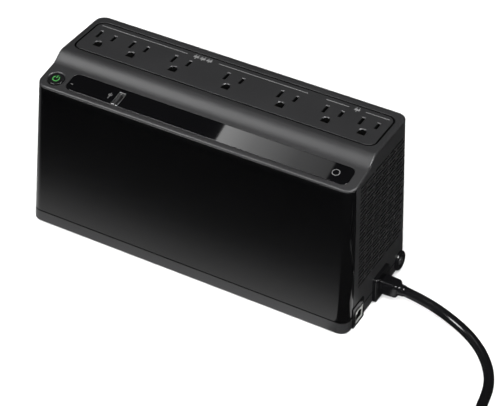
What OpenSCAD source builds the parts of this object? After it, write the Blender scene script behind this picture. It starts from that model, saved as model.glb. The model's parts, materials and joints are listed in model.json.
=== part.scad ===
// Desktop uninterruptible power supply: a low tapered case with seven sockets on its top deck,
// a sloping shelf with a push button and a charging port, and a mains cord on its right end.
// Origin: bottom centre of the case. +X runs along the case to the cord end, +Y to the back.

/* [Case] */
// Length of the case where it stands
case_l = 275; // [272:1:278]
// Depth of the case where it stands
case_d = 105; // [104:1:108]
// Height of the case above the surface it stands on
case_h = 139; // [137:1:141]
// How far each end leans in over the full height
lean_l = 6.25; // [5.5:0.25:7]
// How far the front and the back lean in over the full height
lean_d = 7.5; // [6.5:0.25:8]
// Radius of the upright corners
corner_r = 8; // [7:0.5:12]
// Wall thickness of the shells
wall = 2.4; // [2.2:0.1:2.6]
// Thickness of the top cover and of the socket panel
cover_t = 3; // [2.8:0.1:3.2]
// Thickness of the cover's rim where it lies on the walls
rim_t = 1.7; // [1.5:0.1:2]
// Height of the joint between the base tray and the shells
seam_z = 12.5; // [12:0.1:13]
// Width of the fine joint between two shells
seam_gap = 0.4; // [0.2:0.1:0.6]
// Height of the rubber feet that show
foot_h = 1.5; // [1.2:0.1:1.6]

/* [Roof] */
// Rise of the shelf for each millimetre of depth
shelf_slope = 0.19; // [0.17:0.01:0.2]
// Where the shelf turns up into the step
step_front_y = -22.5; // [-23:0.5:-21]
// Where the step meets the flat deck
step_back_y = -9; // [-10:0.5:-8]
// Height of the step
step_h = 7.36; // [7:0.01:8]

/* [Sockets] */
// Distance between the two blade slots of a socket
slot_pitch = 12.7; // [12.7]
// Distance from the slots to the ground hole
ground_offset = 11.9; // [11.9]
// Depth position of the row of blade slots
slot_y = 20.9; // [20:0.1:22]
// Half length of the socket panel
panel_hx = 126; // [125:0.5:126]

/* [Controls] */
// Position of the push button along the case
button_x = -120; // [-120:0.5:-118]
// Radius of the push button
button_r = 6.25; // [6:0.05:6.3]
// Travel of the push button
button_travel = 1.2; // [1:0.1:1.2]
// Position of the charging port along the case
usb_x = -66.4; // [-68:0.1:-64]

/* [Right end] */
// Depth position of the cord
cord_y = 4.2; // [4:0.1:5]
// Height of the cord where it leaves the case
cord_z = 13.2; // [13:0.1:14]
// Diameter of the mains cord
cord_d = 7.6; // [7.4:0.1:7.8]
// Depth position of the circuit breaker
breaker_y = 39; // [38:0.5:40]
// Height of the circuit breaker's button
breaker_z = 9.6; // [9.5:0.1:10]
// How far the breaker's button stands out when it trips
breaker_travel = 3; // [2.5:0.1:3.5]

/* [Battery] */
// Length of the battery
battery_l = 151; // [150:1:152]
// Depth of the battery
battery_d = 65; // [64:1:65]
// Height of the battery without its tabs
battery_h = 94; // [93:1:95]
// Travel of the battery door before it lifts away
door_travel = 12; // [10:1:12]

/* [Hidden] */

$fn = 64;
hull_fn = 32;
far = 90;
thin = 0.01;
fit = 0.15;

case_grey = [0.13, 0.13, 0.135];
panel_black = [0.02, 0.02, 0.022];
board_green = [0.05, 0.28, 0.12];
steel = [0.72, 0.72, 0.74];
brass = [0.8, 0.65, 0.3];

floor_top = 5;
lip_h = 3;
lip_in = wall / 2 + 0.1;
split_y = -40;
step_run = step_back_y - step_front_y;
step_front_z = case_h - step_h;
shelf_angle = atan(shelf_slope);
lean_angle = atan(lean_l / case_h);
roof_steps = 12;

// Half length and half depth of the leaning case at a height
function half_l(z) = case_l / 2 - lean_l * z / case_h;
function half_d(z) = case_d / 2 - lean_d * z / case_h;

// Height of the shelf, and of the step at a share t of its run
function shelf_z(y) = step_front_z + (y - step_front_y) * shelf_slope;
function step_z(t) = (2 * t * t * t - 3 * t * t + 1) * step_front_z
    + (t * t * t - 2 * t * t + t) * step_run * shelf_slope
    + (3 * t * t - 2 * t * t * t) * case_h;

roof_line = concat(
    [[-far, shelf_z(-far)]],
    [for (i = [0:roof_steps]) [step_front_y + step_run * i / roof_steps, step_z(i / roof_steps)]],
    [[far, case_h]]);

// A tapered block with the case's outline, moved outwards by grow
module case_block(z0, z1, grow) {
    hull()
        for (z = [z0, z1 - thin], sx = [-1, 1], sy = [-1, 1])
            translate([sx * (half_l(z) - corner_r), sy * (half_d(z) - corner_r), z])
                cylinder(r = corner_r + grow, h = thin, $fn = hull_fn);
}

// Everything below the roof line, lowered by drop
module under_roof(drop) {
    rotate([90, 0, 90])
        translate([0, -drop, -case_l])
            linear_extrude(2 * case_l)
                polygon(concat(roof_line, [[far, -far], [-far, -far]]));
}

// A flat plate with round corners, from z0 to z1, centred on the origin
module plate(l, d, r, z0, z1) {
    translate([0, 0, z0])
        linear_extrude(z1 - z0)
            union() {
                square([l - 2 * r, d], center = true);
                square([l, d - 2 * r], center = true);
                for (sx = [-1, 1], sy = [-1, 1])
                    translate([sx * (l / 2 - r), sy * (d / 2 - r)])
                        circle(r);
            }
}

module box(low, high) {
    translate(low)
        cube(high - low);
}

// A place on the sloping shelf, with local Z along its outward normal
module on_shelf(x, y) {
    translate([x, y, shelf_z(y)])
        rotate([shelf_angle, 0, 0])
            children();
}

// A place on the right end, with local Z outwards and local X downwards
module on_right_end(y, z) {
    translate([half_l(z), y, z])
        rotate([0, 90 - lean_angle, 0])
            children();
}

// A round tube through a list of points
function unit(v) = v / norm(v);
function heading(pts, i) = unit(pts[min(i + 1, len(pts) - 1)] - pts[max(i - 1, 0)]);
function ring(c, t, r, n, ref) =
    let (side = unit(cross(t, ref)), up = cross(side, t))
    [for (j = [0:n - 1]) c + r * (cos(360 * j / n) * side + sin(360 * j / n) * up)];
module tube(pts, r, n = 8, ref = [0, 0, 1]) {
    m = len(pts);
    polyhedron(
        points = [for (i = [0:m - 1]) each ring(pts[i], heading(pts, i), r, n, ref)],
        faces = concat(
            [[for (j = [n - 1:-1:0]) j]],
            [for (i = [0:m - 2], j = [0:n - 1])
                [i * n + j, i * n + (j + 1) % n, (i + 1) * n + (j + 1) % n, (i + 1) * n + j]],
            [[for (j = [0:n - 1]) (m - 1) * n + j]]));
}
// A smooth curve through a few points, with k steps between each pair
function bend(pts, k) = [for (i = [0:len(pts) - 2], s = [0:k - 1])
    let (a = pts[max(i - 1, 0)], b = pts[i], c = pts[i + 1], d = pts[min(i + 2, len(pts) - 1)], t = s / k)
    0.5 * (2 * b + (c - a) * t + (2 * a - 5 * b + 4 * c - d) * t * t
        + (3 * b - a - 3 * c + d) * t * t * t),
    pts[len(pts) - 1]];

// ---- base tray, door and feet ----
boss_x = 98;
boss_y = 45;
boss_r = 4;
foot_x = 119;
foot_y = 35;
foot_r = 7;
foot_sink = 0.8;
door_hx = 84;
door_front_y = -35;
door_top = 3.5;
door_back = half_d(door_top) - 0.1;
bay_hx = 78;
bay_front = -28;
bay_back = 42;
tongue_l = 10;
tongue_y = [-27, -4, 19];
key_x = 93.5;
key_r = 4.5;
key_slot = 4.4;
key_reach = 10;
screw_r = 1.35;
screw_head_r = 3;
screw_head_h = 1.6;

module key_holes() {
    for (sx = [-1, 1])
        translate([sx * key_x, 0, -1]) {
            cylinder(r = key_r, h = floor_top + 2);
            translate([-key_slot / 2, 0, 0])
                cube([key_slot, key_reach, floor_top + 2]);
        }
}

module screw_places() {
    for (sx = [-1, 1], sy = [-1, 1])
        translate([sx * boss_x, sy * boss_y, 0])
            children();
}

// Openings that the pieces on the right end share through tray and case
module end_cuts() {
    on_right_end(cord_y, cord_z)
        cube([bezel_h - 4 + fit, bezel_w - 4 + fit, 20], center = true);
    box([half_l(0) - 25, jack_y0 - fit, jack_z0 - 0.1], [half_l(0) + 9, jack_y1 + fit, jack_z1 + fit]);
    on_right_end(breaker_y, breaker_z)
        cylinder(r = breaker_neck_r + 0.1, h = 20, center = true);
}

module base_tray() {
    color(case_grey)
        difference() {
            union() {
                case_block(foot_h, seam_z - seam_gap / 2, 0);
                case_block(seam_z - 2, seam_z + lip_h, -lip_in);
            }
            case_block(floor_top, seam_z + 2 * lip_h, -wall);
            box([-bay_hx, bay_front, 0], [bay_hx, bay_back, floor_top + 1]);
            box([-door_hx - 0.3, door_front_y - 0.3, 0], [door_hx + 0.3, case_d, door_top + fit]);
            for (sx = [-1, 1], y = tongue_y)
                translate([sx * (bay_hx + 2), y + door_travel + tongue_l / 2, 0])
                    cube([5, tongue_l + 0.6, 4 * floor_top], center = true);
            key_holes();
            screw_places() {
                cylinder(r = screw_head_r + 0.3, h = foot_h + screw_head_h + 0.1);
                cylinder(r = screw_r + 0.25, h = 2 * floor_top);
            }
            for (sx = [-1, 1], sy = [-1, 1])
                translate([sx * foot_x, sy * foot_y, 0])
                    cylinder(r = foot_r, h = foot_h + foot_sink);
            end_cuts();
            jack_frame_cut();
        }
}

module rubber_feet() {
    color([0.05, 0.05, 0.05])
        for (sx = [-1, 1], sy = [-1, 1])
            translate([sx * foot_x, sy * foot_y, 0])
                rotate_extrude()
                    polygon([[0, 0], [foot_r - 0.9, 0], [foot_r - 0.1, 0.8],
                        [foot_r - 0.1, foot_h + foot_sink], [0, foot_h + foot_sink]]);
}

module battery_door() {
    riser_x = bay_hx - 1.4;
    color(case_grey)
        difference() {
            union() {
                box([-door_hx, door_front_y, foot_h], [door_hx, door_back, door_top]);
                for (sx = [-1, 1], y = tongue_y)
                    translate([sx * riser_x, y, 0]) {
                        translate([-0.6, 0, door_top - 0.1])
                            cube([1.2, tongue_l, floor_top + 1.7 - door_top]);
                        translate([sx > 0 ? -0.6 : -4.4, 0, floor_top + 0.15])
                            cube([5, tongue_l, 1.45]);
                    }
            }
            // finger grip near the front edge of the door
            for (i = [0:4])
                box([-22, door_front_y + 5 + 4 * i, 0], [22, door_front_y + 7 + 4 * i, foot_h + 0.8]);
        }
}

module door_pad() {
    color([0.12, 0.12, 0.12])
        box([-60, -20, door_top], [60, bay_back - door_travel - 0.5, door_top + 1.9]);
}

// ---- upper shells ----
vent_y0 = -33.5;
vent_y1 = 39.5;
vent_z0 = 34.5;
vent_rows = 27;
vent_pitch = 3.4;
vent_h = 1.7;
vent_l = 21.5;
vent_bridge = 2.5;

// The slots of one end in rows, each row shifted by half a slot from the one below
module vents() {
    step = vent_l + vent_bridge;
    for (row = [0:vent_rows - 1]) {
        z = vent_z0 + row * vent_pitch;
        shift = row % 2 == 0 ? 0 : -step / 2;
        for (k = [0:3]) {
            y0 = max(vent_y0, vent_y0 + shift + k * step);
            y1 = min(vent_y1, vent_y0 + shift + k * step + vent_l);
            if (y1 - y0 > 3)
                box([-case_l, y0, z], [case_l, y1, z + vent_h]);
        }
    }
}

module shell() {
    difference() {
        intersection() {
            case_block(seam_z + seam_gap / 2, case_h + 1, 0);
            under_roof(rim_t);
        }
        case_block(seam_z - 2, case_h + 2, -wall);
        case_block(seam_z - 2, seam_z + lip_h + 0.3, -lip_in + fit);
    }
}

module boss(z_top, sy) {
    for (sx = [-1, 1])
        translate([sx * boss_x, sy * boss_y, floor_top + 0.05])
            cylinder(r = boss_r, h = z_top - floor_top);
}

module boss_holes() {
    screw_places()
        cylinder(r = screw_r + 0.05, h = 15.5);
}

module main_case() {
    color(case_grey)
        difference() {
            union() {
                intersection() {
                    shell();
                    box([-case_l, split_y + seam_gap / 2, 0], [case_l, case_d, 2 * case_h]);
                }
                boss(38, 1);
            }
            boss_holes();
            vents();
            end_cuts();
            jack_frame_cut();
        }
}

tab_z = [32, 92];
module front_panel() {
    color(panel_black)
        difference() {
            union() {
                intersection() {
                    shell();
                    box([-case_l, -case_d, 0], [case_l, split_y - seam_gap / 2, 2 * case_h]);
                }
                boss(24, -1);
                for (sx = [-1, 1], z = tab_z)
                    translate([sx * (half_l(z + 10) - wall - 2), split_y, z + 5])
                        cube([1.5, 12, 10], center = true);
                for (x = board_screw_x, z = board_screw_z)
                    translate([x, board_y, z])
                        rotate([90, 0, 0])
                            cylinder(r = 3, h = half_d(z) - wall / 2 + board_y);
            }
            boss_holes();
            for (x = board_screw_x, z = board_screw_z)
                translate([x, board_y, z])
                    rotate([90, 0, 0])
                        cylinder(r = 1.2, h = min(6, half_d(z) + board_y - 1));
            jack_frame_cut();
        }
}

// ---- roof pieces ----
panel_y0 = -4.5;
panel_y1 = 37;
panel_r = 7;
panel_gap = 0.45;
panel_cy = (panel_y0 + panel_y1) / 2;
panel_d = panel_y1 - panel_y0;
strip_x0 = -109.4;
strip_x1 = 123.6;
strip_y0 = -41;
strip_y1 = -23.8;
strip_l = strip_x1 - strip_x0;
strip_d = (strip_y1 - strip_y0) / cos(shelf_angle);
strip_cx = (strip_x0 + strip_x1) / 2;
strip_cy = (strip_y0 + strip_y1) / 2;
strip_t = 1;
button_y = -35;
button_hole_r = button_r + 0.2;
collar_d = 7.8;
usb_y = -33.6;
usb_l = 13.1;
usb_w = 5.8;

module top_cover() {
    color(case_grey)
        difference() {
            union() {
                difference() {
                    intersection() {
                        case_block(case_h - 30, case_h, 0);
                        under_roof(0);
                    }
                    under_roof(rim_t);
                }
                difference() {
                    intersection() {
                        case_block(case_h - 30, case_h, -wall - fit);
                        under_roof(rim_t - 0.1);
                    }
                    under_roof(cover_t);
                }
                difference() {
                    intersection() {
                        case_block(case_h - 30, case_h, -wall - fit);
                        under_roof(cover_t - 0.1);
                    }
                    case_block(case_h - 31, case_h + 1, -wall - 1.4);
                    under_roof(cover_t + 4);
                }
                on_shelf(button_x, button_y)
                    translate([0, 0, -collar_d])
                        cylinder(r = button_r + 1.6, h = collar_d - 1);
            }
            translate([0, panel_cy, 0])
                plate(2 * panel_hx + 2 * panel_gap, panel_d + 2 * panel_gap, panel_r + panel_gap,
                    case_h - 9, case_h + 1);
            on_shelf(strip_cx, strip_cy)
                plate(strip_l + 0.7, strip_d + 0.7, 5.35, -strip_t, 5);
            on_shelf(usb_x, usb_y)
                plate(usb_w + 0.8, usb_l + 0.8, 0.6, -20, 5);
            on_shelf(button_x, button_y) {
                translate([0, 0, -20])
                    cylinder(r = button_hole_r, h = 40);
                translate([0, 0, -0.8])
                    cylinder(r1 = button_hole_r, r2 = button_hole_r + 0.9, h = 0.9);
            }
        }
}

// Socket places along the deck, and how many of them are on the battery
outlet_x = [-111, -82, -45, 0, 45, 82, 111];
backed = 5;
slot_w = 2.3;
slot_l_neutral = 9;
slot_l_line = 7.3;
ground_w = 6;
ground_l = 6.5;
ground_y = slot_y - ground_offset;

module ground_hole(r, h) {
    translate([0, ground_y + ground_l / 2 - r, 0])
        cylinder(r = r, h = h);
    translate([-r, ground_y - ground_l / 2, 0])
        cube([2 * r, ground_l - r, h]);
}

module outlet_panel() {
    color(case_grey)
        difference() {
            union() {
                translate([0, panel_cy, 0])
                    plate(2 * panel_hx, panel_d, panel_r, case_h - cover_t, case_h);
                translate([0, panel_cy, 0])
                    plate(2 * panel_hx + 3, panel_d + 3, panel_r + 1.5,
                        case_h - cover_t - 1.4, case_h - cover_t - 0.1);
                translate([0, panel_cy, 0])
                    plate(2 * panel_hx, panel_d, panel_r, case_h - cover_t - 1.4, case_h - cover_t + 0.1);
            }
            for (x = outlet_x)
                translate([x, 0, case_h - 10]) {
                    translate([-slot_pitch / 2, slot_y, 10])
                        cube([slot_w, slot_l_neutral, 20], center = true);
                    translate([slot_pitch / 2, slot_y, 10])
                        cube([slot_w, slot_l_line, 20], center = true);
                    ground_hole(ground_w / 2, 20);
                }
        }
}

socket_top = case_h - cover_t - 1.4;
socket_bottom = 120;
clip_top = 133;
strip_z = socket_bottom - 1.2;
bar_t = 0.8;

module outlet_sockets() {
    socket_h = socket_top - socket_bottom;
    color([0.07, 0.07, 0.07])
        for (x = outlet_x)
            translate([x, 0, socket_bottom])
                difference() {
                    translate([-13, 3, 0])
                        cube([26, 26, socket_h]);
                    for (s = [-1, 1])
                        translate([s * slot_pitch / 2 - 2.4, 15.9, -1])
                            cube([4.8, 10, socket_h + 2]);
                    translate([0, ground_y, -1])
                        cylinder(r = 3.8, h = socket_h + 2);
                }
}

// One bus bar: a strip under the sockets with a pair of spring leaves at each slot
module bus_bar(xs, side, y0, leaf_y0, leaf_l) {
    reach = slot_pitch / 2 + 4;
    box([xs[0] - reach, y0, strip_z], [xs[len(xs) - 1] + reach, y0 + 5.5, strip_z + bar_t]);
    for (x = xs, s = [-1, 1])
        translate([x + side * slot_pitch / 2 + s * 1.5 - 0.3, leaf_y0, strip_z + 0.1])
            cube([0.6, leaf_l, clip_top - strip_z]);
}

module neutral_bar() {
    color(brass)
        bus_bar(outlet_x, -1, 22, 22, 3);
}

module line_bar_backed() {
    color(brass)
        bus_bar([for (i = [0:backed - 1]) outlet_x[i]], 1, 14.5, 17, 3);
}

module line_bar_surge() {
    color(brass)
        bus_bar([for (i = [backed:len(outlet_x) - 1]) outlet_x[i]], 1, 14.5, 17, 3);
}

module ground_bar() {
    color(brass) {
        box([outlet_x[0] - 8, ground_y - 3, strip_z], [outlet_x[6] + 8, ground_y + 3, strip_z + bar_t]);
        for (x = outlet_x)
            translate([x, ground_y, strip_z + 0.1])
                difference() {
                    cylinder(r = 3.6, h = clip_top - strip_z);
                    translate([0, 0, -1])
                        cylinder(r = 3.05, h = 30);
                    translate([-0.6, -5, bar_t])
                        cube([1.2, 10, 30]);
                }
    }
}

// Printed group lines, with a plug mark in the gap of each
mark_y = 31.9;
mark_t = 0.06;
module printed(x0, x1) {
    box([x0, mark_y - 0.35, case_h], [x1, mark_y + 0.35, case_h + mark_t]);
}

module plug_mark() {
    box([-2.2, -1.6, 0], [2.2, 0.6, mark_t]);
    for (s = [-1, 1])
        box([s * 1.2 - 0.35, 0.5, 0], [s * 1.2 + 0.35, 2.4, mark_t]);
    box([-0.35, -3, 0], [0.35, -1.5, mark_t]);
}

module outlet_markings() {
    color([0.62, 0.62, 0.62]) {
        printed(-121.5, -46);
        printed(-19, 56);
        printed(71, 89.5);
        printed(103, 122);
        for (x = [-38, -32.5, -27])
            translate([x, mark_y, case_h])
                plug_mark();
        translate([96.2, mark_y, case_h])
            plug_mark();
    }
}

module inlay_strip() {
    color(panel_black)
        difference() {
            on_shelf(strip_cx, strip_cy)
                plate(strip_l, strip_d, 5, -strip_t, -0.05);
            on_shelf(usb_x, usb_y)
                plate(usb_w + 0.5, usb_l + 0.5, 0.5, -5, 5);
        }
}

module strip_markings() {
    color([0.55, 0.55, 0.56]) {
        // a charging mark next to the port: a stem with two arms
        on_shelf(usb_x - 7.5, usb_y)
            translate([0, 0, -0.05]) {
                box([-0.2, -3, 0], [0.2, 3, mark_t]);
                box([-1.4, 0.2, 0], [1.4, 0.6, mark_t]);
                box([-1.4, 0.2, 0], [-1, 1.7, mark_t]);
                box([1, 0.2, 0], [1.4, 1.7, mark_t]);
            }
        // a dash next to the power button
        on_shelf(strip_x0 + 3.4, button_y)
            translate([0, 0, -0.05])
                box([-0.9, -0.25, 0], [0.9, 0.25, mark_t]);
        // a plain ring at the far end of the strip
        on_shelf(strip_x1 - 12, strip_cy)
            translate([0, 0, -0.05])
                difference() {
                    cylinder(r = 3, h = mark_t);
                    translate([0, 0, -1])
                        cylinder(r = 2.5, h = 3);
                }
    }
}

// ---- power button and its switch ----
cap_top = 0.3;
symbol_r = 2.9;
symbol_w = 0.75;
module power_sign(h, grow) {
    difference() {
        cylinder(r = symbol_r + grow, h = h);
        translate([0, 0, -1])
            cylinder(r = symbol_r - symbol_w - grow, h = h + 2);
        translate([-1.4 + grow, 0, -1])
            cube([2.8 - 2 * grow, 5, h + 2]);
    }
    translate([-symbol_w / 2 - grow, 0.4 - grow, 0])
        cube([symbol_w + 2 * grow, 3 + 2 * grow, h]);
}

module power_button() {
    color([0.06, 0.06, 0.065])
        on_shelf(button_x, button_y)
            difference() {
                union() {
                    translate([0, 0, -collar_d - 1])
                        cylinder(r = button_r, h = collar_d + 1 + cap_top);
                    translate([0, 0, -collar_d - 1.6])
                        cylinder(r = button_r + 1.2, h = 1.4);
                    translate([0, 0, plunger_z])
                        cylinder(r = 1.5, h = 6);
                }
                translate([0, 0, cap_top - 0.35])
                    power_sign(1, 0.02);
            }
}

module power_symbol() {
    color([0.1, 0.9, 0.2])
        on_shelf(button_x, button_y)
            translate([0, 0, cap_top - 0.35])
                power_sign(0.33, 0);
}

board_z = -19.6;
plunger_z = -14;
module power_switch() {
    color([0.1, 0.1, 0.1])
        on_shelf(button_x, button_y)
            difference() {
                translate([-6, -6, board_z + 1.6])
                    cube([12, 12, 7]);
                translate([0, 0, plunger_z - button_travel - 0.3])
                    cylinder(r = 1.8, h = 8);
            }
}

module indicator_board() {
    color(board_green)
        on_shelf(button_x, button_y)
            translate([-9, -8, board_z])
                cube([26, 20, 1.6]);
}

module status_led() {
    color([0.3, 0.9, 0.4])
        on_shelf(button_x, button_y)
            translate([0, 8.5, board_z + 1.6]) {
                cylinder(r = 1.5, h = 3.5);
                translate([0, 0, 3.5])
                    sphere(r = 1.5);
            }
}

// ---- charging port ----
usb_depth = 14;
module usb_shell() {
    color(steel)
        on_shelf(usb_x, usb_y)
            difference() {
                plate(usb_w, usb_l, 0.5, -usb_depth, -0.3);
                plate(usb_w - 0.7, usb_l - 0.7, 0.3, -usb_depth + 0.5, 1);
            }
}

module usb_tongue() {
    color([0.85, 0.85, 0.85])
        on_shelf(usb_x, usb_y)
            difference() {
                translate([-usb_w / 2 + 0.75, -5.8, -usb_depth + 0.5])
                    cube([1.9, 11.6, usb_depth - 1.8]);
                for (i = [-1.5:1:1.5])
                    translate([-usb_w / 2 + 2.35, i * 2.4 - 0.6, -usb_depth + 2])
                        cube([1, 1.2, usb_depth]);
            }
}

module usb_board() {
    color(board_green)
        on_shelf(usb_x, usb_y)
            translate([-10, -8, -usb_depth - 1.6])
                cube([24, 20, 1.6]);
}

// ---- right end: data jack, cord bezel, breaker ----
jack_y0 = -37;
jack_y1 = -25;
jack_z0 = 2.6;
jack_z1 = 14.2;
jack_x0 = 119;
jack_x1 = half_l(8) + 0.5;
housing_y0 = -41.5;
housing_y1 = -23.5;
housing_z0 = 1.7;
housing_z1 = 20.5;
housing_cy = (housing_y0 + housing_y1) / 2;
housing_cz = (housing_z0 + housing_z1) / 2;
housing_proud = 0.8;
jack_mouth_y0 = -36;
jack_mouth_y1 = -26;
jack_mouth_z0 = 4.2;
jack_mouth_z1 = 11.2;

// Keeps a case shell out of the space of the jack's frame
module jack_frame_cut() {
    on_right_end(housing_cy, housing_cz)
        plate(housing_z1 - housing_z0 + 0.3, housing_y1 - housing_y0 + 0.3, 1.2, -1, 3);
}

module jack_housing() {
    color([0.08, 0.08, 0.085])
        difference() {
            on_right_end(housing_cy, housing_cz)
                plate(housing_z1 - housing_z0, housing_y1 - housing_y0, 1, -0.9, housing_proud);
            box([jack_x0, jack_y0 - 0.1, jack_z0 - 0.1], [case_l, jack_y1 + 0.1, jack_z1 + 0.1]);
            box([0, -case_d, -1], [case_l, case_d, housing_z0 - 0.1]);
        }
}

module data_jack() {
    color([0.75, 0.75, 0.74])
        difference() {
            box([jack_x0, jack_y0, jack_z0], [jack_x1, jack_y1, jack_z1]);
            box([jack_x0 + 5, jack_mouth_y0, jack_mouth_z0], [case_l, jack_mouth_y1, jack_mouth_z1]);
            box([jack_x0 + 5, -33.5, jack_mouth_z1 - 0.1], [case_l, -28.5, jack_mouth_z1 + 1.6]);
        }
}

module jack_contacts() {
    color([0.85, 0.7, 0.3])
        for (i = [0:7])
            translate([jack_x0 + 5, jack_mouth_y0 + 1.4 + i * 1.02, jack_mouth_z0])
                cube([9, 0.4, 0.6]);
}

module data_board() {
    color(board_green)
        box([jack_x0 - 1.6, -41, floor_top + 0.2], [jack_x0, -20, 24]);
}

bezel_w = 24.5;
bezel_h = 21.2;
bezel_proud = 3;
relief_r = 6;
relief_x0 = 130;
relief_x1 = 153.5;
nose_x = 158;

module cord_bezel() {
    color([0.09, 0.09, 0.095])
        difference() {
            on_right_end(cord_y, cord_z)
                union() {
                    plate(bezel_h, bezel_w, 2.2, 0.02, bezel_proud);
                    plate(bezel_h - 4, bezel_w - 4, 1, -wall - 2, 0.1);
                }
            translate([half_l(0) - 20, cord_y, cord_z])
                rotate([0, 90, 0])
                    cylinder(r = relief_r - 0.5 + 0.05, h = 40);
            box([0, -case_d, -1], [case_l, case_d, foot_h]);
        }
}

module strain_relief() {
    bezel_face = half_l(cord_z) + bezel_proud + 0.6;
    color([0.03, 0.03, 0.03])
        translate([0, cord_y, cord_z])
            rotate([0, 90, 0]) {
                translate([0, 0, relief_x0])
                    cylinder(r = relief_r - 0.5, h = relief_x1 - relief_x0);
                translate([0, 0, relief_x0 - 1.5])
                    cylinder(r = relief_r + 1.5, h = 1.6);
                translate([0, 0, bezel_face])
                    cylinder(r = relief_r, h = relief_x1 - bezel_face);
                translate([0, 0, relief_x1 - 0.1])
                    cylinder(r1 = 5, r2 = cord_d / 2 + 0.4, h = nose_x - relief_x1 + 0.1);
            }
}

breaker_neck_r = 5.5;
breaker_nut_r = 8;
breaker_button_r = 3.6;
module breaker_body() {
    color([0.07, 0.07, 0.07])
        difference() {
            union() {
                box([104, breaker_y - 7, floor_top + 0.2], [130.5, breaker_y + 7, 33]);
                translate([half_l(breaker_z) - 6, breaker_y, breaker_z])
                    rotate([0, 90, 0])
                        cylinder(r = breaker_neck_r - 1.2, h = 7.2);
                box([98, breaker_y - 0.5, 9], [104.1, breaker_y + 0.5, 15]);
                box([98, breaker_y - 0.5, 22], [104.1, breaker_y + 0.5, 28]);
            }
            translate([half_l(breaker_z) - 12, breaker_y, breaker_z])
                rotate([0, 90, 0])
                    cylinder(r = breaker_button_r + 0.1, h = 30);
        }
}

module breaker_nut() {
    color([0.05, 0.05, 0.055])
        difference() {
            on_right_end(breaker_y, breaker_z)
                union() {
                    translate([0, 0, 0.05])
                        cylinder(r = breaker_nut_r, h = 1.15);
                    translate([0, 0, 1.1])
                        cylinder(r1 = breaker_nut_r - 0.4, r2 = breaker_nut_r - 1.4, h = 1.3);
                    translate([0, 0, -wall - 0.5])
                        cylinder(r = breaker_neck_r, h = wall + 0.6);
                }
            translate([half_l(0) - 30, breaker_y, breaker_z])
                rotate([0, 90, 0])
                    cylinder(r = breaker_neck_r - 1.15, h = 60);
        }
}

module breaker_button() {
    color([0.12, 0.12, 0.125])
        translate([0, breaker_y, breaker_z])
            rotate([0, 90, 0]) {
                translate([0, 0, half_l(breaker_z) - 8 - breaker_travel])
                    cylinder(r = breaker_button_r, h = 10 + breaker_travel);
                translate([0, 0, half_l(breaker_z) + 1.9])
                    cylinder(r1 = breaker_button_r, r2 = breaker_button_r - 0.9, h = 0.6);
            }
}

// ---- mains cord: from the strain relief along the floor to a tied coil and a flat plug ----
coil_x = 322;
coil_y = -64;
coil_r = 40.5;
coil_w = 26;
coil_z0 = 0.8;
coil_h = 15.4;
tie_w = 12;
tie_t = 0.8;
route_out = [
    [158, 4.2, 13.2], [165, 4.2, 12.8], [172, 4.1, 11.6], [180, 4.1, 9.8], [188.5, 3.8, 7.6],
    [198, 1.9, 5.4], [207.5, -1.6, 4.2], [215.5, -5.9, 3.9], [222.8, -11, 3.9], [230.7, -18, 3.9],
    [237.4, -25.9, 3.9], [243.2, -34.4, 3.9], [247.7, -43.6, 3.9], [250.4, -53, 3.9],
    [251.4, -63, 3.9], [251.3, -74, 3.9], [253, -87, 3.9], [259.5, -99, 3.9], [269, -107.6, 3.9],
    [280, -112, 3.9], [291, -113.6, 4], [301, -113.6, 4.2]
];
route_in = [
    [369.4, -52, 12.2], [369.6, -40, 11], [369.4, -28, 8.4], [368.4, -16, 5.2], [366, -4, 4],
    [361, 7.5, 3.9], [353, 16.5, 4.6], [343, 22, 6], [332, 24, 7]
];

module power_cord() {
    color([0.03, 0.03, 0.03]) {
        tube(route_out, cord_d / 2, 12);
        tube(route_in, cord_d / 2, 12);
    }
}

module cord_coil() {
    color([0.03, 0.03, 0.03])
        translate([coil_x, coil_y, coil_z0])
            rotate_extrude($fn = 96)
                translate([coil_r - coil_w / 2, 0])
                    square([coil_w, coil_h]);
}

// A band round the coil on its left side
module cord_tie() {
    color([0.04, 0.04, 0.04])
        translate([coil_x - coil_r, coil_y, 0])
            difference() {
                translate([0, 0, coil_z0 + coil_h / 2])
                    cube([coil_w + 3.2 + 2 * tie_t, tie_w, coil_h + 2 * tie_t], center = true);
                translate([0, 0, coil_z0 + coil_h / 2])
                    cube([coil_w + 3.2, tie_w + 1, coil_h], center = true);
            }
}

plug_x = 310;
plug_y = 24;
plug_l = 38;
plug_w = 30;
plug_t = 14;
module plug_body() {
    color([0.03, 0.03, 0.03])
        translate([plug_x, plug_y, 0])
            difference() {
                union() {
                    plate(plug_l, plug_w, 9, 0, plug_t);
                    translate([plug_l / 2 - 6, 0, 7])
                        rotate([0, 90, 0])
                            cylinder(r1 = 6, r2 = cord_d / 2 + 0.3, h = 9);
                }
                for (i = [-2:2])
                    translate([5 * i - 0.6, plug_w / 2 - 0.7, 3])
                        cube([1.2, 3, 8]);
            }
}

blade_l = 17;
module plug_blades() {
    color(brass)
        translate([plug_x, plug_y, plug_t]) {
            for (s = [-1, 1])
                translate([-2 - 3.2, s * slot_pitch / 2 - 0.75, 0])
                    difference() {
                        cube([6.35, 1.5, blade_l]);
                        translate([3.2, -1, blade_l - 4])
                            rotate([-90, 0, 0])
                                cylinder(r = 1.5, h = 4);
                    }
            translate([-2 + ground_offset, 0, 0])
                cylinder(r = 2.4, h = 17.5);
            translate([-2 + ground_offset, 0, 17.5])
                sphere(r = 2.4);
        }
}

// ---- battery ----
battery_z = floor_top + 0.6;
battery_cy = 7;
battery_y0 = battery_cy - battery_d / 2;
lid_h = 12;
tab_x = battery_l / 2 - 9;
module battery_case() {
    color([0.1, 0.1, 0.11])
        translate([0, battery_cy, 0])
            plate(battery_l, battery_d, 1.5, battery_z, battery_z + battery_h - lid_h);
}

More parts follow.
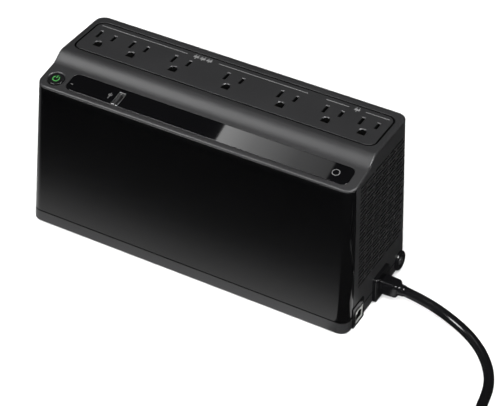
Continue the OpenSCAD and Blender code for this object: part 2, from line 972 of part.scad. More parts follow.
module battery_lid() {
    top = battery_z + battery_h;
    color([0.07, 0.07, 0.08])
        difference() {
            translate([0, battery_cy, 0])
                union() {
                    plate(battery_l, battery_d, 1.5, top - lid_h, top - 3);
                    plate(battery_l - 4, battery_d - 4, 1.5, top - 3.1, top);
                }
            for (x = tab_x * [-1, 1])
                translate([x, battery_y0 + 9, top - 2.9])
                    cylinder(r = 5.5, h = 5);
            for (i = [-2.5:1:2.5])
                translate([i * 20, battery_cy + 8, top - 0.6])
                    cylinder(r = 5, h = 2);
        }
}

module battery_tabs() {
    color(steel)
        for (x = tab_x * [-1, 1])
            translate([x, battery_y0 + 9, battery_z + battery_h - 2.9]) {
                translate([-2.4, -3, 0])
                    cube([4.8, 6, 0.8]);
                translate([-2.4, -0.4, 0])
                    cube([4.8, 0.8, 9]);
            }
}

module spade_connectors() {
    for (x = tab_x * [-1, 1])
        color(x > 0 ? "firebrick" : "black")
            translate([x, battery_y0 + 9, battery_z + battery_h + 1.2])
                difference() {
                    translate([-3.4, -1.6, 0])
                        cube([6.8, 3.2, 10]);
                    translate([-2.5, -0.5, -1])
                        cube([5, 1, 8]);
                }
}

lead_z = battery_z + battery_h + 11.2;
module battery_lead_red() {
    color("firebrick")
        tube(bend([[tab_x, battery_y0 + 9, lead_z], [tab_x, battery_y0 + 8.5, lead_z + 2.6],
            [tab_x + 5, battery_y0 + 2, lead_z + 3], [tab_x + 12, battery_y0 - 4, lead_z - 6],
            [tab_x + 12, -33, lead_z - 18], [tab_x + 12, board_face, lead_z - 20]], 4), 1.5, 8, [1, 0.1, 0]);
}

module battery_lead_black() {
    color([0.05, 0.05, 0.05])
        tube(bend([[-tab_x, battery_y0 + 9, lead_z], [-tab_x, battery_y0 + 8.5, lead_z + 2.6],
            [-tab_x + 3, battery_y0 + 2, lead_z + 3], [-tab_x + 4, battery_y0 - 4, lead_z - 6],
            [-tab_x + 5, -33, lead_z - 18], [-tab_x + 6, board_face, lead_z - 20]], 4), 1.5, 8, [1, 0.1, 0]);
}

// ---- main board and what stands on it ----
board_x0 = -70;
board_x1 = 124;
board_z0 = 26;
board_z1 = 106;
board_t = 1.6;
board_y = -43.6;
board_face = board_y + board_t;
board_screw_x = [-62, 28, 118];
board_screw_z = [31, 101];

module main_board() {
    color(board_green)
        difference() {
            box([board_x0, board_y, board_z0], [board_x1, board_face, board_z1]);
            for (x = board_screw_x, z = board_screw_z)
                translate([x, board_y + 5, z])
                    rotate([90, 0, 0])
                        cylinder(r = 1.7, h = 10);
        }
}

module board_screws() {
    color(steel)
        for (x = board_screw_x, z = board_screw_z)
            translate([x, board_face, z])
                rotate([90, 0, 0]) {
                    cylinder(r = 1.15, h = board_t + min(5, half_d(z) + board_y - 1.5));
                    translate([0, 0, -1.6])
                        cylinder(r = 2.6, h = 1.6);
                }
}

sink_x = 104;
sink_z0 = 62;
sink_z1 = 86;
module heat_sink() {
    color([0.6, 0.6, 0.62]) {
        box([sink_x - 20, board_face, sink_z0], [sink_x + 16, board_face + 26, sink_z0 + 3]);
        for (i = [0:6])
            box([sink_x - 20 + 5.7 * i, board_face, sink_z0 + 2.9], [sink_x - 18.2 + 5.7 * i,
                board_face + 26, sink_z1]);
    }
}

module power_transistors() {
    color([0.05, 0.05, 0.05])
        for (i = [0:2])
            box([sink_x - 18 + 12 * i, board_face + 5, sink_z0 - 2.2],
                [sink_x - 8 + 12 * i, board_face + 20, sink_z0]);
}

core_x = 102;
core_z = 43;
core_hy = 15;
module transformer_core() {
    color([0.18, 0.18, 0.19])
        translate([core_x, board_face + 2 + core_hy, core_z])
            difference() {
                cube([42, 2 * core_hy, 24], center = true);
                for (s = [-1, 1])
                    translate([s * 11.5, 0, 0])
                        cube([9, 22, 30], center = true);
            }
}

module transformer_coil() {
    color([0.75, 0.6, 0.2])
        translate([core_x, board_face + 2 + core_hy, core_z])
            difference() {
                cube([31.6, 21.6, 23.6], center = true);
                cube([14.2, 22, 24.2], center = true);
            }
}

module bulk_capacitors() {
    color([0.08, 0.1, 0.25]) {
        for (x = [90, 106])
            translate([x, board_face, 96])
                rotate([-90, 0, 0])
                    cylinder(r = 7.5, h = 24);
        for (x = [-52, -38])
            translate([x, board_face, 90])
                rotate([-90, 0, 0])
                    cylinder(r = 5, h = 12);
    }
}

module relays() {
    color([0.12, 0.2, 0.5])
        for (i = [0:2])
            box([-20 + 24 * i, board_face, 40], [-1 + 24 * i, board_face + 14.5, 55]);
}

module varistors() {
    color([0.15, 0.3, 0.65])
        for (x = [-52, -40])
            translate([x, board_face + 8, 50])
                rotate([0, 90, 0])
                    cylinder(r = 7, h = 4.5);
}

module board_fuse() {
    color([0.75, 0.4, 0.1])
        difference() {
            box([40, board_face, 76], [59, board_face + 12, 81]);
            box([43, board_face + 6, 75], [56, board_face + 13, 82]);
        }
}

module buzzer() {
    color([0.05, 0.05, 0.05])
        translate([0, board_face, 84])
            rotate([-90, 0, 0])
                difference() {
                    cylinder(r = 6, h = 9);
                    translate([0, 0, 6])
                        cylinder(r = 1, h = 4);
                }
}

// Insulated wires: live to the breaker, neutral and ground to their bars
wire_r = 1.2;
module mains_wires() {
    start_x = relief_x0 - 1.5;
    color([0.05, 0.05, 0.05])
        tube(bend([[start_x, cord_y + 3, cord_z - 1.5], [122, 12, 12], [112, 22, 14], [99, 28, 20],
            [93, 34, 25], [93.5, breaker_y, 25.5], [97.8, breaker_y, 25.5]], 4), wire_r);
    color([0.8, 0.8, 0.78])
        tube(bend([[start_x, cord_y - 3, cord_z - 1.5], [124, -4, 13], [126, -10, 22], [127, -13, 40],
            [127, -12, 60], [126.5, -4, 95], [124, 12, 108], [119, 24.7, 113], [118, 24.7, strip_z]], 4),
            wire_r, 8, [1, 0.2, 0]);
    color([0.1, 0.5, 0.15])
        tube(bend([[start_x, cord_y, cord_z + 2.5], [122, 6, 20], [122, 5, 60], [121.5, 7, 95],
            [118, 9, 112], [117, 9, strip_z]], 4), wire_r, 8, [1, 0.2, 0]);
}

// Wires from the breaker to the board and from the board to the two live bars
module output_wires() {
    color([0.05, 0.05, 0.05]) {
        tube(bend([[97.8, breaker_y, 12], [90, 36, 14], [84, 20, 20], [79, 0, 22], [78.5, -25, 28],
            [77, board_face, 34]], 4), wire_r);
        tube(bend([[50, board_face, 98], [50, -34, 104], [51, -15, 109], [52, 10, 110],
            [52, 17, 114], [52, 17, strip_z]], 4), wire_r, 8, [1, 0.1, 0]);
        tube(bend([[118, board_face, 93], [118, -32, 98], [114, -12, 108], [108, 8, 111],
            [106, 17, 114], [106, 17, strip_z]], 4), wire_r, 8, [1, 0.1, 0]);
    }
}

module case_screws() {
    color(steel)
        screw_places() {
            translate([0, 0, foot_h])
                difference() {
                    cylinder(r = screw_head_r, h = screw_head_h);
                    translate([-2, -0.4, -1])
                        cube([4, 0.8, 1.8]);
                    translate([-0.4, -2, -1])
                        cube([0.8, 4, 1.8]);
                }
            translate([0, 0, foot_h + screw_head_h])
                cylinder(r = screw_r, h = 11);
        }
}

base_tray();
rubber_feet();
battery_door();
door_pad();
main_case();
front_panel();
top_cover();
outlet_panel();
outlet_sockets();
neutral_bar();
line_bar_backed();
line_bar_surge();
ground_bar();
outlet_markings();
inlay_strip();
strip_markings();
power_button();
power_symbol();
power_switch();
indicator_board();
status_led();
usb_shell();
usb_tongue();
usb_board();
jack_housing();
data_jack();
jack_contacts();
data_board();
cord_bezel();
strain_relief();
power_cord();
cord_coil();
cord_tie();
plug_body();
plug_blades();
breaker_body();
breaker_nut();
breaker_button();
battery_case();
battery_lid();
battery_tabs();
spade_connectors();
battery_lead_red();
battery_lead_black();
main_board();
heat_sink();
power_transistors();
transformer_core();
transformer_coil();
bulk_capacitors();
relays();
varistors();
board_fuse();
buzzer();
mains_wires();
output_wires();
case_screws();
board_screws();
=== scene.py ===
"""Looks of a desktop uninterruptible power supply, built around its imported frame.

Lengths are in millimetres, and each mesh is scaled to metres when it is made.
"""

import json
import math

import bmesh
import bpy
from mathutils import Matrix, Vector
from mathutils.geometry import delaunay_2d_cdt


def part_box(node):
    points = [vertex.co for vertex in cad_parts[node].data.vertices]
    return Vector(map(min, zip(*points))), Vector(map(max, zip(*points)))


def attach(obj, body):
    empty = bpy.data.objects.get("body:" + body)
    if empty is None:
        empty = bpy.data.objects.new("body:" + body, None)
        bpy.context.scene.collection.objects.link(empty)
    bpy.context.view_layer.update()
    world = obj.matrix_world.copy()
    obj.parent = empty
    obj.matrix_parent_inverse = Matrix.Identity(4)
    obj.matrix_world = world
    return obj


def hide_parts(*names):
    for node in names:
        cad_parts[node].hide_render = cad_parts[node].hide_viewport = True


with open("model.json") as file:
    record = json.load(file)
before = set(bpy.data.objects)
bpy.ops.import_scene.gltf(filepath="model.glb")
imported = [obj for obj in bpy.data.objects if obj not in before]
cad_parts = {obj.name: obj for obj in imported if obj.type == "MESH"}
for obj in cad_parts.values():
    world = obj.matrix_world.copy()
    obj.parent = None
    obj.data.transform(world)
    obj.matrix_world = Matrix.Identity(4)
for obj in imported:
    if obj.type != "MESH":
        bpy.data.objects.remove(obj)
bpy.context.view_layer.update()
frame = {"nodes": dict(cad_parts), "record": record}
nodes = frame["nodes"]

MM = 0.001


def node_box(name):
    """Lowest and highest corner of a node, in millimetres."""
    low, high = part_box(name)
    return low / MM, high / MM


# ---- driving sizes, the same as the frame's ----
CASE_H = node_box("top_cover")[1].z
LEAN_L = 6.25
LEAN_D = 7.5
FOOT_H = node_box("base_tray")[0].z
HALF_L = node_box("base_tray")[1].x + LEAN_L * FOOT_H / CASE_H
HALF_D = node_box("base_tray")[1].y + LEAN_D * FOOT_H / CASE_H
CORNER_R = 8
WALL = 2.4
COVER_T = 3
RIM_T = 1.7
SEAM_Z = 12.5
SEAM_GAP = 0.4
SPLIT_Y = -40
SHELF_SLOPE = 0.19
STEP_FRONT_Y = -22.5
STEP_BACK_Y = -9
STEP_H = 7.36
FLOOR_TOP = 5
SHELF_ANGLE = math.atan(SHELF_SLOPE)
LEAN_ANGLE = math.atan(LEAN_L / CASE_H)

PANEL_LOW, PANEL_HIGH = node_box("outlet_panel")
PANEL_L = 252
PANEL_D = 41.5
PANEL_Y = 16.25
PANEL_R = 7
PANEL_GAP = 0.45
OUTLET_X = (-111, -82, -45, 0, 45, 82, 111)
SLOT_Y = 20.9
SLOT_PITCH = 12.7
GROUND_Y = 9
STRIP_X0, STRIP_X1 = -109.4, 123.6
STRIP_Y0, STRIP_Y1 = -41, -23.8
STRIP_X = (STRIP_X0 + STRIP_X1) / 2
STRIP_Y = (STRIP_Y0 + STRIP_Y1) / 2
STRIP_D = (STRIP_Y1 - STRIP_Y0) / math.cos(SHELF_ANGLE)
STRIP_R = 5
STRIP_T = 1
BUTTON_X, BUTTON_Y, BUTTON_R = -120, -35, 6.25
USB_X, USB_Y, USB_W, USB_L = -66.4, -33.6, 5.8, 13.1
CORD_Y, CORD_Z, CORD_D = 4.2, 13.2, 7.6
BREAKER_Y, BREAKER_Z = 39, 9.6


def half_l(z):
    return HALF_L - LEAN_L * z / CASE_H


def half_d(z):
    return HALF_D - LEAN_D * z / CASE_H


def roof(y):
    """Height of the roof at a depth: sloping shelf, step, flat deck."""
    front_z = CASE_H - STEP_H
    if y <= STEP_FRONT_Y:
        return front_z + (y - STEP_FRONT_Y) * SHELF_SLOPE
    if y >= STEP_BACK_Y:
        return CASE_H
    run = STEP_BACK_Y - STEP_FRONT_Y
    t = (y - STEP_FRONT_Y) / run
    return ((2 * t ** 3 - 3 * t ** 2 + 1) * front_z + (t ** 3 - 2 * t ** 2 + t) * run * SHELF_SLOPE
            + (3 * t ** 2 - 2 * t ** 3) * CASE_H)


# ---- mesh helpers ----
class Shape:
    """Vertices and faces that are collected in millimetres."""

    def __init__(self):
        self.points = []
        self.faces = []

    def row(self, points):
        start = len(self.points)
        self.points += [tuple(p) for p in points]
        return list(range(start, start + len(points)))

    def bridge(self, a, b):
        """Faces between two closed rows of equal length."""
        n = len(a)
        for i in range(n):
            j = (i + 1) % n
            self.faces.append((a[i], a[j], b[j], b[i]))

    def loft(self, loops):
        """Closed loops of equal length, joined one to the next and capped."""
        rows = [self.row(loop) for loop in loops]
        for a, b in zip(rows, rows[1:]):
            self.bridge(a, b)
        self.faces.append(tuple(reversed(rows[0])))
        self.faces.append(tuple(rows[-1]))

    def fill(self, edge, inner, height, flip=False):
        """Triangles inside the closed row `edge`, through more points that lie at height(x, y)."""
        ring = [Vector(self.points[i][:2]) for i in edge]
        extra = self.row([(x, y, height(y)) for x, y in inner if inside((x, y), ring)])
        ids = edge + extra
        flat = ring + [Vector(self.points[i][:2]) for i in extra]
        n = len(ring)
        borders = [(i, (i + 1) % n) for i in range(n)]
        points, _, faces, source, _, _ = delaunay_2d_cdt(flat, borders, [], 0, 1e-5, True)
        for face in faces:
            middle = sum((points[i] for i in face), Vector((0, 0))) / 3
            if inside(middle, ring):
                found = [ids[source[i][0]] for i in face]
                self.faces.append(tuple(reversed(found)) if flip else tuple(found))

    def add(self, other):
        base = len(self.points)
        self.points += other.points
        self.faces += [tuple(base + i for i in face) for face in other.faces]

    def place(self, matrix):
        self.points = [tuple(matrix @ Vector(p)) for p in self.points]
        return self

    def mesh(self, name):
        data = bpy.data.meshes.new(name)
        data.from_pydata([[c * MM for c in p] for p in self.points], [], self.faces)
        work = bmesh.new()
        work.from_mesh(data)
        bmesh.ops.remove_doubles(work, verts=work.verts, dist=0.001 * MM)
        bmesh.ops.dissolve_degenerate(work, dist=0.0005 * MM, edges=work.edges)
        work.to_mesh(data)
        work.free()
        return data

    def object(self, name):
        made = bpy.data.objects.new(name, self.mesh(name))
        bpy.context.scene.collection.objects.link(made)
        return made


def inside(point, ring):
    """Whether a flat point lies inside a closed ring of points."""
    x, y = point
    odd = False
    for a, b in zip(ring, ring[1:] + ring[:1]):
        if (a[1] > y) != (b[1] > y) and x < a[0] + (y - a[1]) * (b[0] - a[0]) / (b[1] - a[1]):
            odd = not odd
    return odd


def round_rect(l, d, r, steps=8):
    """Flat outline of a rectangle with round corners, counter-clockwise."""
    points = []
    for sx, sy, start in ((1, 1, 0), (-1, 1, 90), (-1, -1, 180), (1, -1, 270)):
        for i in range(steps + 1):
            a = math.radians(start + 90 * i / steps)
            points.append((sx * (l / 2 - r) + r * math.cos(a), sy * (d / 2 - r) + r * math.sin(a)))
    return points


def circle(r, steps=64):
    return [(r * math.cos(math.tau * i / steps), r * math.sin(math.tau * i / steps)) for i in range(steps)]


def raised(points, z):
    return [(x, y, z) for x, y in points]


def on_shelf(x, y):
    """A place on the sloping shelf, with local Z along its outward normal."""
    return Matrix.Translation((x, y, roof(y))) @ Matrix.Rotation(SHELF_ANGLE, 4, "X")


def on_right_end(y, z):
    """A place on the right end, with local Z outwards, local X downwards."""
    return Matrix.Translation((half_l(z), y, z)) @ Matrix.Rotation(math.pi / 2 - LEAN_ANGLE, 4, "Y")


def arc_profile(r, steps=4):
    """Inset and drop of a rounded top edge, from the side to the top."""
    turns = [math.radians(90 * i / steps) for i in range(steps + 1)]
    return [(r * (1 - math.cos(a)), r * (1 - math.sin(a))) for a in turns]


def flared(outline, depth, r=0.25, over=1.0, steps=3):
    """A cutter that goes down `depth` and widens by a rounded lip of radius r at the surface z = 0."""
    shape = Shape()
    loops = [raised(outline(0), -depth), raised(outline(0), -r)]
    for i in range(1, steps + 1):
        a = math.radians(90 * i / steps)
        loops.append(raised(outline(r * (1 - math.cos(a))), -r * (1 - math.sin(a))))
    loops.append(raised(outline(r), over))
    shape.loft(loops)
    return shape


def cut(target, *shapes):
    """Takes closed shapes out of an object."""
    tool_shape = Shape()
    for shape in shapes:
        tool_shape.add(shape)
    tool = tool_shape.object("cutter")
    modifier = target.modifiers.new("cut", "BOOLEAN")
    modifier.operation = "DIFFERENCE"
    modifier.solver = "MANIFOLD"
    modifier.object = tool
    bpy.context.view_layer.update()
    graph = bpy.context.evaluated_depsgraph_get()
    result = bpy.data.meshes.new_from_object(target.evaluated_get(graph))
    target.modifiers.clear()
    old = target.data
    result.name = old.name
    target.data = result
    bpy.data.meshes.remove(old)
    bpy.data.objects.remove(tool)


def shade(made, angle=38):
    """Smooth shading that keeps hard edges, with normals that follow the large faces."""
    made.data.shade_smooth()
    made.data.set_sharp_from_angle(angle=math.radians(angle))
    modifier = made.modifiers.new("normals", "WEIGHTED_NORMAL")
    modifier.keep_sharp = True
    modifier.weight = 60
    return made


def settle(made, body, slot, material, *replaced):
    """Gives a new piece its body and its material, and hides the frame nodes that it stands for; the slot
    name is not used.
    """
    made.data.materials.clear()
    made.data.materials.append(material)
    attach(made, body)
    if replaced:
        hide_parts(*replaced)
    return made


def paint_shade_inside(made, shaded):
    """Paints shade on the faces inside a cut by giving them the near-black inner plastic; the test picks
    them by centre and normal, in mm.
    """
    made.data.materials.append(MATERIALS["inner_plastic"])
    for face in made.data.polygons:
        if shaded(face.center / MM, face.normal):
            face.material_index = 1
    return made


# ---- camera ----
AZIMUTH, ELEVATION, ROLL = 27.5, 37.98, 2.01
FOCAL_PX = 1771.8
SENSOR = 36.0
FRAME_PX = 500
CAMERA_OFFSET = (-25.8, 28.52, 1378.7)


def make_camera():
    a, e, r = (math.radians(v) for v in (AZIMUTH, ELEVATION, ROLL))
    right = Vector((math.cos(a), math.sin(a), 0))
    back = Vector((math.sin(a) * math.cos(e), -math.cos(a) * math.cos(e), math.sin(e)))
    up = back.cross(right)
    side = math.cos(r) * right + math.sin(r) * up
    top = math.cos(r) * up - math.sin(r) * right
    x, y, z = CAMERA_OFFSET
    place = -x * side + y * top + z * back
    data = bpy.data.cameras.new("camera")
    data.sensor_width = SENSOR
    data.lens = FOCAL_PX * SENSOR / FRAME_PX
    data.clip_start = 0.01
    camera = bpy.data.objects.new("camera", data)
    turn = Matrix((side, top, back)).transposed().to_4x4()
    camera.matrix_world = Matrix.Translation(place * MM) @ turn
    bpy.context.scene.collection.objects.link(camera)
    bpy.context.scene.camera = camera


make_camera()

# ---- mains cord ----
ROUTE_OUT = [
    (158, 4.2, 13.2), (165, 4.2, 12.8), (172, 4.1, 11.6), (180, 4.1, 9.8), (188.5, 3.8, 7.6),
    (198, 1.9, 5.4), (207.5, -1.6, 4.2), (215.5, -5.9, 3.9), (222.8, -11, 3.9), (230.7, -18, 3.9),
    (237.4, -25.9, 3.9), (243.2, -34.4, 3.9), (247.7, -43.6, 3.9), (250.4, -53, 3.9),
    (251.4, -63, 3.9), (251.3, -74, 3.9), (253, -87, 3.9), (259.5, -99, 3.9), (269, -107.6, 3.9),
    (280, -112, 3.9), (291, -113.6, 4), (301, -113.6, 4.2),
]
ROUTE_IN = [
    (369.4, -52, 12.2), (369.6, -40, 11), (369.4, -28, 8.4), (368.4, -16, 5.2), (366, -4, 4),
    (361, 7.5, 3.9), (353, 16.5, 4.6), (343, 22, 6), (332, 24, 7),
]
COIL_CENTRE = (322, -64)
COIL_OUTER = 49.6
COIL_INNER = 31.6
COIL_EXIT = 47.6
COIL_LOW_Z = 4.6
COIL_HIGH_Z = 12.25
COIL_START, RISE_START, RISE_END, COIL_END = -90, 720, 850, 1440
STEPS_PER_TURN = 32


def coil_route():
    """Two layers of turns, in degrees: inwards on the floor, up at the inner edge, outwards on top."""
    spans = [
        (COIL_START, RISE_START, COIL_OUTER, COIL_INNER, COIL_LOW_Z, COIL_LOW_Z),
        (RISE_START, RISE_END, COIL_INNER, COIL_INNER, COIL_LOW_Z, COIL_HIGH_Z),
        (RISE_END, COIL_END, COIL_INNER, COIL_EXIT, COIL_HIGH_Z, COIL_HIGH_Z),
    ]
    points = []
    for a0, a1, r0, r1, z0, z1 in spans:
        count = max(2, round((a1 - a0) / 360 * STEPS_PER_TURN))
        for i in range(count):
            t = i / count
            smooth = t * t * (3 - 2 * t)
            a = math.radians(a0 + (a1 - a0) * t)
            r = r0 + (r1 - r0) * t
            points.append((COIL_CENTRE[0] + r * math.cos(a), COIL_CENTRE[1] + r * math.sin(a),
                           z0 + (z1 - z0) * smooth))
    return points


def smooth_route(points, rounds=2):
    """Evens out the small kinks where the stretches meet, and keeps both ends."""
    for _ in range(rounds):
        points = [points[0]] + [
            tuple((a + 2 * b + c) / 4 for a, b, c in zip(*three))
            for three in zip(points, points[1:], points[2:])
        ] + [points[-1]]
    return points


def make_cord():
    route = smooth_route(ROUTE_OUT + coil_route() + ROUTE_IN)
    data = bpy.data.curves.new("mains_cord", "CURVE")
    data.dimensions = "3D"
    data.bevel_depth = CORD_D / 2 * MM
    data.bevel_resolution = 6
    data.resolution_u = 4
    data.use_fill_caps = True
    spline = data.splines.new("NURBS")
    spline.points.add(len(route) - 1)
    for point, place in zip(spline.points, route):
        point.co = (*(c * MM for c in place), 1)
    spline.order_u = 4
    spline.use_endpoint_u = True
    made = bpy.data.objects.new("mains_cord", data)
    bpy.context.scene.collection.objects.link(made)
    return made


cord = make_cord()


# ---- materials ----
class Nodes:
    """A short way to build a node material."""

    def __init__(self, name):
        self.material = bpy.data.materials.new(name)
        self.material.use_nodes = True
        self.tree = self.material.node_tree
        self.bsdf = self.tree.nodes["Principled BSDF"]
        self.coords = self.tree.nodes.new("ShaderNodeTexCoord").outputs["Object"]

    def link(self, output, target):
        self.tree.links.new(output, target)

    def add(self, kind, **values):
        made = self.tree.nodes.new(kind)
        for key, value in values.items():
            if hasattr(made, key):
                setattr(made, key, value)
            else:
                made.inputs[key.replace("_", " ")].default_value = value
        return made

    def noise(self, scale, detail=2.0, roughness=0.5):
        made = self.add("ShaderNodeTexNoise", Scale=scale, Detail=detail, Roughness=roughness)
        self.link(self.coords, made.inputs["Vector"])
        return made.outputs["Fac"]

    def spread(self, value, low, high, from_low=0.3, from_high=0.7):
        made = self.tree.nodes.new("ShaderNodeMapRange")
        made.inputs["From Min"].default_value = from_low
        made.inputs["From Max"].default_value = from_high
        made.inputs["To Min"].default_value = low
        made.inputs["To Max"].default_value = high
        self.link(value, made.inputs["Value"])
        return made.outputs["Result"]

    def tint(self, value, dark, light):
        made = self.tree.nodes.new("ShaderNodeMix")
        made.data_type = "RGBA"
        made.inputs["A"].default_value = (*dark, 1)
        made.inputs["B"].default_value = (*light, 1)
        self.link(value, made.inputs["Factor"])
        return made.outputs["Result"]

    def bump(self, height, strength, distance_mm):
        made = self.tree.nodes.new("ShaderNodeBump")
        made.inputs["Strength"].default_value = strength
        made.inputs["Distance"].default_value = distance_mm * MM
        self.link(height, made.inputs["Height"])
        self.link(made.outputs["Normal"], self.bsdf.inputs["Normal"])


def plastic(name, colour, roughness, grain=0.0, grain_mm=0.45, spread=0.12, specular=0.5):
    """Moulded plastic: slight unevenness in colour and gloss, and a fine grain where it is matt."""
    n = Nodes(name)
    wide = n.noise(14, 4, 0.6)
    fine = n.noise(1 / (grain_mm * MM), 3, 0.6)
    dark = [c * (1 - spread) for c in colour]
    light = [c * (1 + spread) for c in colour]
    n.link(n.tint(n.spread(wide, 0, 1), dark, light), n.bsdf.inputs["Base Color"])
    n.link(n.spread(wide, roughness * 0.94, roughness * 1.06), n.bsdf.inputs["Roughness"])
    n.bsdf.inputs["Specular IOR Level"].default_value = specular
    if grain:
        n.bump(fine, grain, 0.05)
    return n.material


def metal(name, colour, roughness, brushed=0.0):
    """Bare metal with faint streaks along X."""
    n = Nodes(name)
    stretch = n.add("ShaderNodeMapping")
    stretch.inputs["Scale"].default_value = (40, 900, 900)
    n.link(n.coords, stretch.inputs["Vector"])
    streaks = n.add("ShaderNodeTexNoise", Scale=1.0, Detail=3.0)
    n.link(stretch.outputs["Vector"], streaks.inputs["Vector"])
    fac = streaks.outputs["Fac"]
    dark = [c * 0.85 for c in colour]
    n.link(n.tint(n.spread(fac, 0, 1), dark, colour), n.bsdf.inputs["Base Color"])
    n.link(n.spread(fac, roughness * 0.8, roughness * 1.2), n.bsdf.inputs["Roughness"])
    n.bsdf.inputs["Metallic"].default_value = 1.0
    if brushed:
        n.bump(fac, brushed, 0.02)
    return n.material


def glowing(name, colour, strength):
    """A lit mark, its colour and brightness varying a little at random."""
    n = Nodes(name)
    fac = n.noise(300, 2, 0.5)
    n.link(n.tint(fac, [c * 0.8 for c in colour], colour), n.bsdf.inputs["Base Color"])
    n.bsdf.inputs["Emission Color"].default_value = (*colour, 1)
    n.link(n.spread(fac, strength * 0.85, strength * 1.1), n.bsdf.inputs["Emission Strength"])
    n.bsdf.inputs["Roughness"].default_value = 0.3
    return n.material


MATERIALS = {
    "case_plastic": plastic("case_plastic", (0.0148, 0.0148, 0.0154), 0.42, grain=0.35, specular=0.38),
    "front_gloss": plastic("front_gloss", (0.0011, 0.0011, 0.0012), 0.07, specular=0.5),
    "strip_gloss": plastic("strip_gloss", (0.0015, 0.0015, 0.0018), 0.03, specular=0.5),
    "rubber": plastic("rubber", (0.015, 0.015, 0.015), 0.8, grain=0.4),
    "pad_foam": plastic("pad_foam", (0.03, 0.03, 0.03), 0.95, grain=0.9, grain_mm=1.2),
    # inner_plastic is also laid on faces inside cuts as painted shade
    "inner_plastic": plastic("inner_plastic", (0.001, 0.001, 0.001), 0.7, grain=0.2, specular=0.08),
    "brass": metal("brass", (0.75, 0.55, 0.25), 0.32, 0.2),
    "print_grey": plastic("print_grey", (0.13, 0.13, 0.13), 0.6),
    "button_plastic": plastic("button_plastic", (0.003, 0.003, 0.0033), 0.3, grain=0.1),
    "symbol_green": glowing("symbol_green", (0.045, 0.24, 0.05), 0.1),
    "circuit_board": plastic("circuit_board", (0.01, 0.08, 0.025), 0.35, spread=0.3),
    "led_lens": glowing("led_lens", (0.2, 0.9, 0.3), 0.6),
    "bright_steel": metal("bright_steel", (0.62, 0.62, 0.63), 0.3, 0.2),
    "tongue_plastic": plastic("tongue_plastic", (0.012, 0.012, 0.012), 0.45),
    "trim_plastic": plastic("trim_plastic", (0.003, 0.003, 0.0033), 0.16, grain=0.06),
    "jack_plastic": plastic("jack_plastic", (0.27, 0.27, 0.26), 0.4, grain=0.1),
    "gold_contact": metal("gold_contact", (0.9, 0.65, 0.25), 0.25),
    "cord_rubber": plastic("cord_rubber", (0.003, 0.003, 0.0034), 0.17, grain=0.08, grain_mm=0.8),
    "tie_plastic": plastic("tie_plastic", (0.01, 0.01, 0.01), 0.45),
    "plug_brass": metal("plug_brass", (0.8, 0.66, 0.4), 0.24, 0.2),
    "breaker_plastic": plastic("breaker_plastic", (0.02, 0.02, 0.021), 0.22),
    "battery_plastic": plastic("battery_plastic", (0.03, 0.03, 0.034), 0.45, grain=0.3),
    "battery_lid": plastic("battery_lid", (0.02, 0.02, 0.024), 0.5, grain=0.3),
    "connector_plastic": plastic("connector_plastic", (0.35, 0.02, 0.015), 0.35),
    "wire_red": plastic("wire_red", (0.42, 0.015, 0.012), 0.4),
    "wire_black": plastic("wire_black", (0.012, 0.012, 0.012), 0.42),
    "aluminium": metal("aluminium", (0.68, 0.69, 0.7), 0.38, 0.5),
    "ferrite": plastic("ferrite", (0.05, 0.05, 0.055), 0.75, grain=0.7),
    "coil_tape": plastic("coil_tape", (0.6, 0.42, 0.05), 0.3),
    "capacitor_sleeve": plastic("capacitor_sleeve", (0.012, 0.016, 0.07), 0.3),
    "relay_blue": plastic("relay_blue", (0.02, 0.06, 0.28), 0.35),
    "varistor_blue": plastic("varistor_blue", (0.02, 0.09, 0.4), 0.35),
    "fuse_orange": plastic("fuse_orange", (0.65, 0.2, 0.02), 0.35),
    "screw_steel": metal("screw_steel", (0.5, 0.5, 0.52), 0.35, 0.3),
}

for part in frame["record"]["subparts"]:
    shown = nodes[part["node"]]
    shown.data.materials.clear()
    shown.data.materials.append(MATERIALS[part["material_slot"]])


def soften(name, width, segments=3):
    """Rounds the edges of a frame node with modifiers only."""
    shown = nodes[name]
    weld = shown.modifiers.new("weld", "WELD")
    weld.merge_threshold = 0.002 * MM
    flat = shown.modifiers.new("flat", "DECIMATE")
    flat.decimate_type = "DISSOLVE"
    flat.angle_limit = math.radians(2)
    bevel = shown.modifiers.new("bevel", "BEVEL")
    bevel.width = width * MM
    bevel.segments = segments
    bevel.limit_method = "ANGLE"
    bevel.angle_limit = math.radians(40)
    bevel.harden_normals = True
    shown.data.shade_smooth()


# ---- outer shells ----
def wall_station(sx, y):
    """A point on an end wall, or on the corner arc next to it, at a fixed depth."""
    def place(z, grow):
        past = abs(y) - (half_d(z) - CORNER_R)
        if past <= 0:
            return sx * (half_l(z) + grow), y
        r = CORNER_R + grow
        return sx * (half_l(z) - CORNER_R + math.sqrt(max(r * r - past * past, 0))), y
    return place


def side_station(sy, t):
    """A point on the front or back wall, at a share t of its half length."""
    def place(z, grow):
        return t * (half_l(z) - CORNER_R), sy * (half_d(z) + grow)
    return place


def seam_stations(sx, y, steps, sy):
    """From depth y on an end wall, round the corner to the front or back wall."""
    made = []
    for i in range(steps + 1):
        def place(z, grow, i=i):
            past = abs(y) - (half_d(z) - CORNER_R)
            r = CORNER_R + grow
            flat = max(0.0, -past)
            first = math.asin(max(0.0, min(1.0, past / r)))
            last = math.radians(90)
            total = flat + (last - first) * r
            gone = total * i / steps
            if gone <= flat and flat > 0:
                return sx * (half_l(z) + grow), sy * (abs(y) + gone)
            a = first + (gone - flat) / r
            return (sx * (half_l(z) - CORNER_R + r * math.cos(a)),
                    sy * (half_d(z) - CORNER_R + r * math.sin(a)))
        made.append(place)
    return made


LIP = 0.35
EDGE_LIP = 0.15
SIDE_STEPS = 12
CORNER_STEPS = 12
SEAM_STEPS = 14
SHELL_LEVELS = 40


def side_steps(sy, direction):
    return [side_station(sy, direction * (-1 + 2 * i / SIDE_STEPS)) for i in range(1, SIDE_STEPS)]


def settle_height(station, grow, height):
    """The point of a station whose height depends on its own depth."""
    z = CASE_H * 0.9
    for _ in range(6):
        x, y = station(z, grow)
        z = height(y)
    return x, y, z


